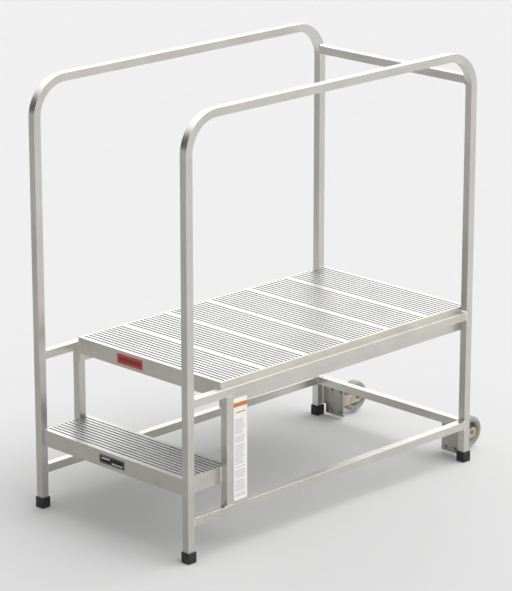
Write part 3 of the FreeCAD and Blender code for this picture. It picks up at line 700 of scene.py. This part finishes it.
def bead(start, end, first, second, sweep):
    """One bead as points and quads: point = line + size * (cos t * first + sin t * second).

    t runs from 0 to the sweep, a quarter turn for a fillet between two faces or a half turn for a low
    bead on one. The size swells once for every scale of frozen metal, later at the middle than at the
    sides, so that the scales curve, and it dies away at both ends.
    """
    start, end = np.asarray(start, float), np.asarray(end, float)
    length = np.linalg.norm(end - start)
    rows = max(6, int(length / bead_scale * bead_rows_per_scale))
    along = np.linspace(0, 1, rows)[:, None]
    angle = np.linspace(0, sweep, bead_columns)[None, :]
    bow = np.sin(math.pi * angle / sweep)
    swell = 1 + bead_swell * np.abs(np.sin(math.pi * (along * length / bead_scale + bead_bow * bow)))
    ends = np.clip(np.minimum(along, 1 - along) * length / bead_taper, 0.15, 1) ** 0.5
    size = (swell * ends)[:, :, None] * (1 - bead_flattening * bow[:, :, None] * (sweep < 2))
    arc = np.cos(angle)[:, :, None] * first + np.sin(angle)[:, :, None] * second
    points = start + along[:, :, None] * (end - start) + size * arc
    return points.reshape(-1, 3), rows


def beads(name, runs):
    """Join many beads in one piece; each is closed underneath by its own first and last columns."""
    points, faces, uvs, count = [], [], [], 0
    around = np.arange(bead_columns + 1) * bead_leg / bead_columns
    for run in runs:
        grid, rows = bead(*run)
        out_from_line = np.array(run[2]) + np.array(run[3])
        facing = np.cross(grid[1] - grid[0], grid[bead_columns] - grid[0]) @ out_from_line
        order = -1 if facing < 0 else 1
        points.append(grid)
        faces += grid_faces(rows, bead_columns, count)[:, ::order].tolist()
        faces += [cap[::order] for cap in end_caps(rows, bead_columns, count)]
        pairs = grid_uvs(around, np.arange(rows) * bead_scale / bead_rows_per_scale)
        uvs += [pairs.reshape(-1, 2), np.zeros((2 * bead_columns, 2))]
        count += len(grid)
    new_piece(name, np.vstack(points), faces, np.vstack(uvs), weld)


QUARTER, HALF = math.pi / 2, math.pi
AXES = np.eye(3)


def butt_joint(name, axis, flush, fillet):
    """The beads round both ends of a tube: low ones on the flush pair of faces, fillets on the other."""
    low, high = map(np.array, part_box(name))
    kinds = [(fillet, bead_leg, QUARTER)]
    if flush is not None:
        kinds.append((flush, flush_bead_height, HALF))
    runs = []
    for end, place in ((-1, low[axis]), (1, high[axis])):
        for side, faces in ((-1, low), (1, high)):
            for across, size, sweep in kinds:
                start, stop = np.copy(low), np.copy(high)
                for point in (start, stop):
                    point[axis], point[across] = place, faces[across]
                runs.append((start, stop, -end * bead_leg * AXES[axis], side * size * AXES[across], sweep))
    return runs


rail_runs = []
for side in ("left", "right"):
    rail_runs += butt_joint(f"deck_rail_{side}", 1, 0, 2)
    rail_runs += butt_joint(f"lower_rail_{side}", 1, 0, 2)
    rail_runs += butt_joint(f"middle_post_{side}", 2, 0, 1)
rail_runs += butt_joint("lower_rail_rear", 0, 1, 2)
rail_runs += butt_joint("top_rail_rear", 0, None, 2)
beads("rail_weld_beads", rail_runs)

# The step's side bars are welded to the backs of the front legs and the fronts of the posts, and the
# deck's side beams to the undersides of their rails in short stitches.
deck_runs = []
stitch, stitch_spacing, first_stitch, bead_inset = 0.032, 0.16, 0.08, 0.002
for side, sign in (("left", -1), ("right", 1)):
    outside = sign * AXES[0]
    low, high = map(np.array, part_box(f"step_beam_{side}"))
    face = high[0] if sign > 0 else low[0]
    post_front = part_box(f"middle_post_{side}")[0][1]
    leg_back = hoop_low[1] + tube
    for y, facing in ((leg_back, 1), (post_front, -1)):
        fillet = (facing * bead_leg * AXES[1], outside * bead_leg, QUARTER)
        deck_runs.append(((face, y, low[2] + bead_inset), (face, y, high[2] - bead_inset), *fillet))
    rail_low, rail_high = map(np.array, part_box(f"deck_rail_{side}"))
    beam_low, beam_high = map(np.array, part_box(f"deck_beam_{side}"))
    face = beam_high[0] if sign > 0 else beam_low[0]
    for y in np.arange(beam_low[1] + first_stitch, rail_high[1] - stitch, stitch_spacing):
        under = (-bead_leg * AXES[2], outside * bead_leg, QUARTER)
        deck_runs.append(((face, y, rail_low[2]), (face, y + stitch, rail_low[2]), *under))
beads("deck_weld_beads", deck_runs)

# ---- labels and nameplate -----------------------------------------------------------------------
# A flat bar stands behind the right middle post and carries a tall printed film. A small film is on
# the deck's front, and a black plate on the step's. Their print is plain bands and bars.

low, high = map(np.array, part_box("label_plate"))
flat_corners = [(low[0], low[1]), (high[0], low[1]), (high[0], high[1]), (low[0], high[1])]
bar("label_plate", flat_corners, 2, shift=0.2)


def film_place(tree):
    """Metres across a film and up it, from its lower left corner."""
    split = node(tree, "ShaderNodeSeparateXYZ", {0: node(tree, "ShaderNodeTexCoord").outputs["UV"]}).outputs
    return split["X"], split["Y"]


def between(tree, value, low, high):
    """1 where a value lies between two limits, else 0."""
    above = arithmetic(tree, "GREATER_THAN", value, low)
    return arithmetic(tree, "MULTIPLY", above, arithmetic(tree, "LESS_THAN", value, high))


def block(tree, left, right, low, high):
    """1 inside an upright rectangle on a film, else 0."""
    x, y = film_place(tree)
    return arithmetic(tree, "MULTIPLY", between(tree, x, left, right), between(tree, y, low, high))


def printed_film(material, colour, rough=0.38, gloss=0.5):
    """Printed film: a smooth coat, slightly uneven where it has been pressed down, and rubbed edges."""
    tree = material.node_tree
    ripple = noise(tree, object_place(tree), 55.0, 2.0)
    worn = placed(tree, edge_wear, Amount=0.4, Breaks_per_metre=300.0)["Mask"]
    faded_tone = (0.70, 0.69, 0.66, 1)
    faded = mixed(tree, scaled(tree, ripple, 0.3, 0.7, 0.0, 0.03), colour, faded_tone)
    rubbed = mixed(tree, worn, faded, faded_tone)
    rougher = scaled(tree, ripple, 0.3, 0.7, rough - 0.05, rough + 0.07)
    bump = (ripple, 0.0002, 0.25)
    return surfaced(material, bump, Base_Color=rubbed, Roughness=rougher, Specular_IOR_Level=gloss)


def side_label_print(width, height):
    """White film with an orange band, an orange rule, and grey bars of uneven length down the rest."""
    material, tree = new_material("side_label_print")
    x, y = film_place(tree)
    line_pitch, line_start = 0.0052, 0.005
    band = between(tree, y, height - 0.0275, height - 0.0145)
    rule = block(tree, 0.009, width - 0.006, height - 0.0462, height - 0.0428)
    count = arithmetic(tree, "DIVIDE", y, line_pitch)
    number = arithmetic(tree, "FLOOR", count)
    length = node(tree, "ShaderNodeTexWhiteNoise", {"W": number}, noise_dimensions="1D").outputs["Value"]
    reach = scaled(tree, length, 0.0, 1.0, width * 0.62, width - line_start)
    bars = between(tree, arithmetic(tree, "FRACT", count), 0.3, 0.62)
    kept = arithmetic(tree, "GREATER_THAN", length, 0.14)
    for part in (between(tree, x, line_start, reach), kept, between(tree, y, 0.012, height - 0.064)):
        bars = arithmetic(tree, "MULTIPLY", bars, part)
    orange = (0.72, 0.19, 0.012, 1)
    share = scaled(tree, bars, 0.0, 1.0, 0.0, 0.75)
    paper = mixed(tree, share, (0.96, 0.955, 0.94, 1), (0.25, 0.22, 0.20, 1))
    return printed_film(material, mixed(tree, band, mixed(tree, rule, paper, orange), orange))


def deck_label_print(width, height):
    """Orange-red film with one dark bar, cut by narrow gaps."""
    material, tree = new_material("deck_label_print")
    dark_bar = block(tree, width * 0.07, width * 0.93, height * 0.30, height * 0.70)
    gap_pitch = 0.0085
    ticks = arithmetic(tree, "DIVIDE", film_place(tree)[0], gap_pitch)
    solid = between(tree, arithmetic(tree, "FRACT", ticks), 0.0, 0.78)
    share = scaled(tree, arithmetic(tree, "MULTIPLY", dark_bar, solid), 0.0, 1.0, 0.0, 0.92)
    return printed_film(material, mixed(tree, share, (0.50, 0.03, 0.01, 1), (0.02, 0.008, 0.006, 1)))


def nameplate_print(width, height):
    """Black anodised plate with a thin pale border and two plain pale bars."""
    material, tree = new_material("nameplate_print")
    upper = block(tree, width * 0.10, width * 0.42, height * 0.56, height * 0.70)
    lower = block(tree, width * 0.50, width * 0.92, height * 0.24, height * 0.36)
    border_from, border_to = 0.0022, 0.0029
    within, core = (block(tree, at, width - at, at, height - at) for at in (border_from, border_to))
    border = arithmetic(tree, "SUBTRACT", within, core)
    pale = arithmetic(tree, "MAXIMUM", arithmetic(tree, "ADD", upper, lower), border)
    share = scaled(tree, pale, 0.0, 1.0, 0.0, 0.95)
    colour = mixed(tree, share, (0.008, 0.008, 0.009, 1), (0.72, 0.72, 0.70, 1))
    return printed_film(material, colour, rough=0.45, gloss=0.25)


def film(name, across, outward, corner, print_maker, slot):
    """A thin plate with round corners on a flat face: its outline, from its box, is carried outward.

    The print's U runs along the across axis, left to right as it is read, and V up it, in metres.
    """
    low, high = map(np.array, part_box(name))
    axis = int(np.argmax(np.abs(across)))
    depth = int(np.argmax(np.abs(outward)))
    width, height = high[axis] - low[axis], high[2] - low[2]
    outline, _ = rounded_outline([(0, 0), (width, 0), (width, height), (0, height)], corner, 6)
    centre = np.array([width, height]) / 2
    rim = 0.3 * (high[depth] - low[depth])
    shrunk = centre + (outline - centre) * (1 - 2 * rim / np.array([width, height]))
    inside, outside = (low[depth], high[depth]) if sum(outward) > 0 else (high[depth], low[depth])
    origin = np.where(np.asarray(across) < 0, high, low).astype(float)
    levels = [(outline, inside), (outline, outside - rim * sum(outward)), (shrunk, outside)]
    points = []
    for loop, level in levels:
        places = origin + loop[:, :1] * np.asarray(across, float) + loop[:, 1:] * AXES[2]
        places[:, depth] = level
        points.append(places)
    count = len(outline)
    faces = grid_faces(3, count).tolist() + end_caps(3, count)
    corners = np.concatenate([outline, outline, shrunk])
    uvs = np.vstack([corners[face] for face in faces])
    edge = np.concatenate([np.zeros(count), np.ones(count), np.zeros(count)])
    printed = print_maker(width, height)
    new_piece(f"{name}_film", np.vstack(points), faces, uvs, printed, edge, slot=slot, stands_for=[name])


film("side_label", (0, 1, 0), (1, 0, 0), 0.004, side_label_print, "label_film")
film("deck_label", (1, 0, 0), (0, -1, 0), 0.0015, deck_label_print, "label_film")
film("step_nameplate", (1, 0, 0), (0, -1, 0), 0.0025, nameplate_print, "nameplate")

# ---- caster mounting plates and forks -----------------------------------------------------------
# Each plate is sawn from aluminium bar, notched round the foot and welded on. The fork is pressed
# from zinc plated steel. Their sharp edges are broken, and the bolt holes stay open behind the bolts.


def zinc(name, dark, light, rough_low, rough_high):
    """Zinc plate with a faint yellow passivation: clouded, with fine flakes."""
    material, tree = new_material(name)
    place = object_place(tree)
    clouds = noise(tree, place, 45.0, 6.0)
    flakes = node(tree, "ShaderNodeTexVoronoi", {"Vector": place, "Scale": 700.0}).outputs["Distance"]
    dusty = placed(tree, settled_dust, Amount=0.2)["Mask"]
    metal = mixed(tree, scaled(tree, clouds, 0.35, 0.65), dark, light)
    colour = mixed(tree, dusty, metal, (0.50, 0.48, 0.43, 1))
    rough = scaled(tree, clouds, 0.3, 0.7, rough_low, rough_high)
    return surfaced(material, (flakes, 0.00008, 0.25), Base_Color=colour, Metallic=1.0, Roughness=rough)


fork_zinc = zinc("fork_zinc", (0.44, 0.40, 0.31, 1), (0.60, 0.56, 0.46, 1), 0.30, 0.44)
bolt_zinc = zinc("bolt_zinc", (0.36, 0.345, 0.31, 1), (0.50, 0.48, 0.44, 1), 0.24, 0.36)


def eased_copy(name, new_name, width, material):
    """A CAD node's own shape with its corners merged, its flat faces made whole and its edges eased.

    Its UV map is each face seen along the axis that it faces most, in metres.
    """
    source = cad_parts[name]
    shape = bmesh.new()
    shape.from_mesh(source.data)
    bmesh.ops.remove_doubles(shape, verts=shape.verts, dist=0.00001)
    bmesh.ops.dissolve_limit(shape, angle_limit=math.radians(1), verts=shape.verts, edges=shape.edges)
    mesh = bpy.data.meshes.new(new_name)
    shape.to_mesh(mesh)
    shape.free()
    points = np.empty(len(mesh.vertices) * 3, np.float32)
    mesh.vertices.foreach_get("co", points)
    corner_points = np.empty(len(mesh.loops), np.int32)
    mesh.loops.foreach_get("vertex_index", corner_points)
    normals = np.array([face.normal for face in mesh.polygons])
    totals = np.array([face.loop_total for face in mesh.polygons])
    facing = np.repeat(np.abs(normals).argmax(axis=1), totals)
    places = points.reshape(-1, 3)[corner_points]
    sideways, upward = np.array([1, 2, 0])[facing], np.array([2, 0, 1])[facing]
    row = np.arange(len(places))
    uvs = np.stack([places[row, sideways], places[row, upward]], axis=1)
    mesh.uv_layers.new(name="UVMap").uv.foreach_set("vector", uvs.astype(np.float32).ravel())
    piece = finished_piece(new_name, mesh, material, "root", [name])
    ease = piece.modifiers.new("eased_edges", "BEVEL")
    ease.width = width
    ease.segments = 3
    ease.limit_method = "ANGLE"
    ease.angle_limit = math.radians(50)
    piece.modifiers.move(1, 0)


# The plates' aluminium is darker than the beams' as painted shade, for their place under the deck.
plate_shaded_tones = (0.39, 0.38, 0.355, 1), (0.49, 0.48, 0.445, 1)
plate_rough = (0.34, 0.46)
shaded_plate_metal = aluminium("shaded_plate_aluminium", *plate_shaded_tones, rough=plate_rough, lines=900.0, wear=0.6, dust=0.15)
for side in ("left", "right"):
    eased_copy(f"caster_mount_{side}", f"mounting_plate_{side}", 0.0006, shaded_plate_metal)
    eased_copy(f"caster_fork_{side}", f"pressed_fork_{side}", 0.0005, fork_zinc)

mount_runs = []
notch_height = 0.006
for side, sign in (("left", -1), ("right", 1)):
    low, high = map(np.array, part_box(f"caster_mount_{side}"))
    rail_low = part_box("lower_rail_rear")[0]
    inner, outer = (low[0], high[0]) if sign > 0 else (high[0], low[0])
    leg_inner = sign * (hoop_high[0] - tube)
    back_corner = (bead_leg * AXES[2], bead_leg * AXES[1], QUARTER)
    front_corner = (-bead_leg * AXES[2], -bead_leg * AXES[1], QUARTER)
    side_corner = (-sign * bead_leg * AXES[0], -bead_leg * AXES[1], QUARTER)
    mount_runs.append(((inner, low[1], high[2]), (outer, low[1], high[2]), *back_corner))
    mount_runs.append(((inner, low[1], rail_low[2]), (leg_inner, low[1], rail_low[2]), *front_corner))
    notch_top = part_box(f"foot_rear_{side}")[1][2] + notch_height
    mount_runs.append(((leg_inner, low[1], notch_top), (leg_inner, low[1], rail_low[2]), *side_corner))
beads("mount_weld_beads", mount_runs)

# ---- bolts and nuts -----------------------------------------------------------------------------
# Hexagon bolts with chamfered heads, and plain nuts on real threads: four hold each caster to its
# plate, and one is each wheel's axle.

bolt_radius = 0.00397
hex_apothem = 0.00635
head_height, nut_height = 0.0053, 0.0067
thread_pitch, thread_depth = 0.00141, 0.00045
bolt_end, thread_start = 0.003, 0.001
hex_steps, rows_per_turn = 48, 6
chamfer_share = 0.94


def ringed(name, sets, stands_for):
    """Several turned shapes in one piece, each given as rings of radius by angle and of height."""
    points, faces, uvs, count = [], [], [], 0
    for radius, height, origin, axis, across in sets:
        rows, columns = radius.shape
        angle = np.linspace(0, 2 * math.pi, columns, endpoint=False)
        up = np.cross(axis, across)
        flat = np.cos(angle)[None, :, None] * across + np.sin(angle)[None, :, None] * up
        grid = (origin + radius[:, :, None] * flat + height[:, :, None] * axis).reshape(-1, 3)
        around = np.arange(columns + 1) * 2 * math.pi * radius.max() / columns
        along = travelled(np.column_stack([radius[:, 0], height[:, 0]]))
        points.append(grid)
        faces += grid_faces(rows, columns, count).tolist() + end_caps(rows, columns, count)
        uvs += [grid_uvs(around, along).reshape(-1, 2), np.zeros((2 * columns, 2))]
        count += len(grid)
    given = {"slot": "zinc_steel", "stands_for": [stands_for]}
    new_piece(name, np.vstack(points), faces, np.vstack(uvs), bolt_zinc, **given)


def hexagon(angle):
    """The distance from the centre to a hexagon's side: the apothem over the cosine to its middle."""
    return hex_apothem / np.cos((angle + math.pi / 6) % (math.pi / 3) - math.pi / 6)


def chamfered(height, both):
    """A hexagonal head or nut: its outer corners are cut by a cone of 30 degrees at one end or both."""
    side = hexagon(np.linspace(0, 2 * math.pi, hex_steps, endpoint=False))
    flat = np.full(hex_steps, hex_apothem * chamfer_share)
    drop = (side - flat) * math.tan(math.radians(30))
    zero = np.zeros(hex_steps)
    centre = np.full(hex_steps, bolt_radius)
    rows = [(centre, zero), (flat, zero), (side, drop)] if both else [(centre, zero), (side, zero)]
    rows += [(side, height - drop), (flat, zero + height), (centre, zero + height)]
    radius, level = (np.array(values) for values in zip(*rows))
    return radius, level


def threaded(length, thread_from):
    """A shank with a thread on its last stretch, whose crest climbs one pitch in each turn."""
    angle = np.linspace(0, 2 * math.pi, hex_steps, endpoint=False)[None, :]
    plain = np.linspace(0, thread_from, 2)[:, None]
    rows = int((length - thread_from) / thread_pitch * rows_per_turn)
    cut = np.linspace(thread_from, length, rows)[1:, None]
    level = np.vstack([plain, cut]) + 0 * angle
    wave = np.abs(((level / thread_pitch + angle / (2 * math.pi)) % 1) - 0.5) * 2
    tip = np.clip((length - level) / (1.5 * thread_pitch), 0, 1)
    sunk = np.where(level <= thread_from, 0, wave * thread_depth)
    radius = bolt_radius - sunk - (1 - tip) * thread_depth
    return radius, level


def bolt_sets(origin, axis, across, grip):
    """A head whose bearing face is at the origin, and a shank that runs the other way."""
    shank = threaded(grip + nut_height + bolt_end, grip - thread_start)
    return [(*chamfered(head_height, False), origin, -axis, across), (*shank, origin, axis, across)]


def nut_set(origin, axis, across):
    """A nut that starts at the origin and is chamfered at both ends."""
    return [(*chamfered(nut_height, True), origin, axis, across)]


corner = hex_apothem / math.cos(math.pi / 6)
for side, sign in (("left", -1), ("right", 1)):
    low, high = map(np.array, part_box(f"caster_bolts_{side}"))
    nut_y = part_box(f"caster_nuts_{side}")[0][1]
    plate_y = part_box(f"caster_mount_{side}")[0][1]
    bolts, nuts = [], []
    for x in (low[0] + corner, high[0] - corner):
        for z in (low[2] + hex_apothem, high[2] - hex_apothem):
            bolts += bolt_sets(np.array([x, plate_y, z]), AXES[1], AXES[0], nut_y - plate_y)
            nuts += nut_set(np.array([x, nut_y, z]), AXES[1], AXES[0])
    ringed(f"mounting_bolts_{side}", bolts, f"caster_bolts_{side}")
    ringed(f"mounting_nuts_{side}", nuts, f"caster_nuts_{side}")

    axle_low, axle_high = map(np.array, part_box(f"axle_bolt_{side}"))
    middle = np.mean(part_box(f"axle_sleeve_{side}"), axis=0)
    head_x = axle_high[0] - head_height if sign > 0 else axle_low[0] + head_height
    head_at = np.array([head_x, *middle[1:]])
    nut_at = np.array([2 * middle[0] - head_x, *middle[1:]])
    inward = -sign * AXES[0]
    screw = bolt_sets(head_at, inward, AXES[2], abs(head_at[0] - nut_at[0]))
    ringed(f"axle_screw_{side}", screw, f"axle_bolt_{side}")
    ringed(f"axle_hexagon_{side}", nut_set(nut_at, inward, AXES[2]), f"axle_nut_{side}")

# ---- wheels -------------------------------------------------------------------------------------
# A moulded wheel centre turns on a steel sleeve and carries a pale non-marking tyre. The tyre has
# round shoulders and a mould line, and the centre is dished on both sides between boss and rim.

turned_steps = 96


def turned(name, outline, centre, material, cad_node, **piece):
    """A closed outline of X and radius turned about the axle: Y, Z = radius times cosine and sine."""
    profile, edge = outline
    angle = np.linspace(0, 2 * math.pi, turned_steps, endpoint=False)
    x = np.tile(profile[:, 0], (turned_steps, 1))
    y = profile[None, :, 1] * np.cos(angle)[:, None]
    z = profile[None, :, 1] * np.sin(angle)[:, None]
    points = np.stack([x, y, z], axis=-1).reshape(-1, 3) + centre
    faces = grid_faces(turned_steps + 1, len(profile)) % len(points)
    along = np.arange(turned_steps + 1) * 2 * math.pi * profile[:, 1].max() / turned_steps
    uvs = grid_uvs(travelled(profile, closed=True), along)
    given = {"stands_for": [cad_node], "edge": np.tile(edge, turned_steps)}
    return new_piece(name, points, faces.tolist(), uvs, material, **given, **piece)


def moulded(name, base, rim, rough):
    """Moulded plastic: pale on the rim and painted dark in the recess as shade, with a spark texture and
    faint flow marks.
    """
    material, tree = new_material(name)
    place = object_place(tree)
    spark, flow = noise(tree, place, 1800.0, 3.0), noise(tree, place, 38.0, 4.0)
    recess = node(tree, "ShaderNodeAttribute", attribute_name="recess").outputs["Fac"]
    worn = placed(tree, edge_wear, Amount=0.5, Breaks_per_metre=260.0)["Mask"]
    dusty = placed(tree, settled_dust, Amount=0.4)["Mask"]
    clouded = mixed(tree, scaled(tree, flow, 0.35, 0.65, 0.0, 0.12), mixed(tree, recess, rim, base), rim)
    colour = mixed(tree, dusty, mixed(tree, worn, clouded, rim), (0.45, 0.43, 0.39, 1))
    dull = scaled(tree, flow, 0.3, 0.7, rough - 0.06, rough + 0.06)
    bump = (spark, 0.00005, 0.3)
    return surfaced(material, bump, Base_Color=colour, Roughness=dull, Coat_Weight=0.5, Coat_Roughness=0.15)


# The first tone is painted shade for the recess, the second the rim's own pale plastic.
hub_plastic = moulded("wheel_centre_plastic", (0.04, 0.037, 0.032, 1), (0.48, 0.45, 0.37, 1), 0.32)
pale_rubber = rubber("pale_tyre_rubber", (0.36, 0.35, 0.30, 1), (0.48, 0.46, 0.41, 1), 0.45)

shoulder, shoulder_radius = 0.005, 0.003
seam, seam_height, seam_radius, bead_radius = 0.0006, 0.0004, 0.0001, 0.0006
boss, boss_draft, web_half, web_draft = 0.012, 0.0012, 0.0035, 0.0008
rim_inset, rim_wall, recess_edge = 0.002375, 0.004, 0.0012
bore_gap, tyre_gap, bolt_gap, sleeve_corner = 0.00006, 0.00005, 0.0001, 0.0002
hub_radii = [0.0005, 0.0008, 0.002, 0.002, 0.0006, 0.0004]
for side in ("left", "right"):
    body = f"wheel_{side}"
    sleeve_low, sleeve_high = map(np.array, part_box(f"axle_sleeve_{side}"))
    sleeve_half, _, sleeve_radius = (sleeve_high - sleeve_low) / 2
    low, high = map(np.array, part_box(f"tyre_{side}"))
    centre = (low + high) / 2
    half, outer = (high[0] - low[0]) / 2, (high[1] - low[1]) / 2
    hub_low, hub_high = map(np.array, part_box(f"wheel_hub_{side}"))
    hub_half, rim_outer = (hub_high[0] - hub_low[0]) / 2, (hub_high[1] - hub_low[1]) / 2
    tread_radius = outer - seam_height
    right = [(half, rim_outer), (half, outer - shoulder)]
    right += [(half - shoulder, tread_radius), (seam, tread_radius)]
    tyre_corners = right + [(0, outer)] + [(-x, radius) for x, radius in reversed(right)]
    tyre_radii = [bead_radius, shoulder_radius, shoulder_radius, seam_radius]
    outline = rounded_outline(tyre_corners, tyre_radii + [seam_radius] + tyre_radii[::-1], 5)
    turned(f"tyre_{side}_tread", outline, centre, pale_rubber, f"tyre_{side}", slot="tyre", body=body)

    rim_half, rim_inner = half - rim_inset, rim_outer - rim_wall
    right = [(hub_half, sleeve_radius + bore_gap), (hub_half, boss)]
    right += [(web_half, boss + boss_draft), (web_half, rim_inner - web_draft)]
    right += [(rim_half, rim_inner), (rim_half, rim_outer - tyre_gap)]
    hub_corners = right + [(-x, radius) for x, radius in reversed(right)]
    outline = rounded_outline(hub_corners, hub_radii + hub_radii[::-1], 5)
    given = {"slot": "wheel_plastic", "body": body}
    wheel = turned(f"wheel_centre_{side}", outline, centre, hub_plastic, f"wheel_hub_{side}", **given)
    # Painted shade: the recess value marks where the wheel centre is coloured dark.
    point_values(wheel.data, "recess", np.tile(outline[0][:, 1] < rim_inner - recess_edge, turned_steps))

    inner = bolt_radius + bolt_gap
    right = [(sleeve_half, inner), (sleeve_half, sleeve_radius)]
    outline = rounded_outline(right + [(-x, radius) for x, radius in reversed(right)], sleeve_corner, 2)
    sleeve_middle = (sleeve_low + sleeve_high) / 2
    turned(f"sleeve_{side}", outline, sleeve_middle, bolt_zinc, f"axle_sleeve_{side}", slot="zinc_steel")
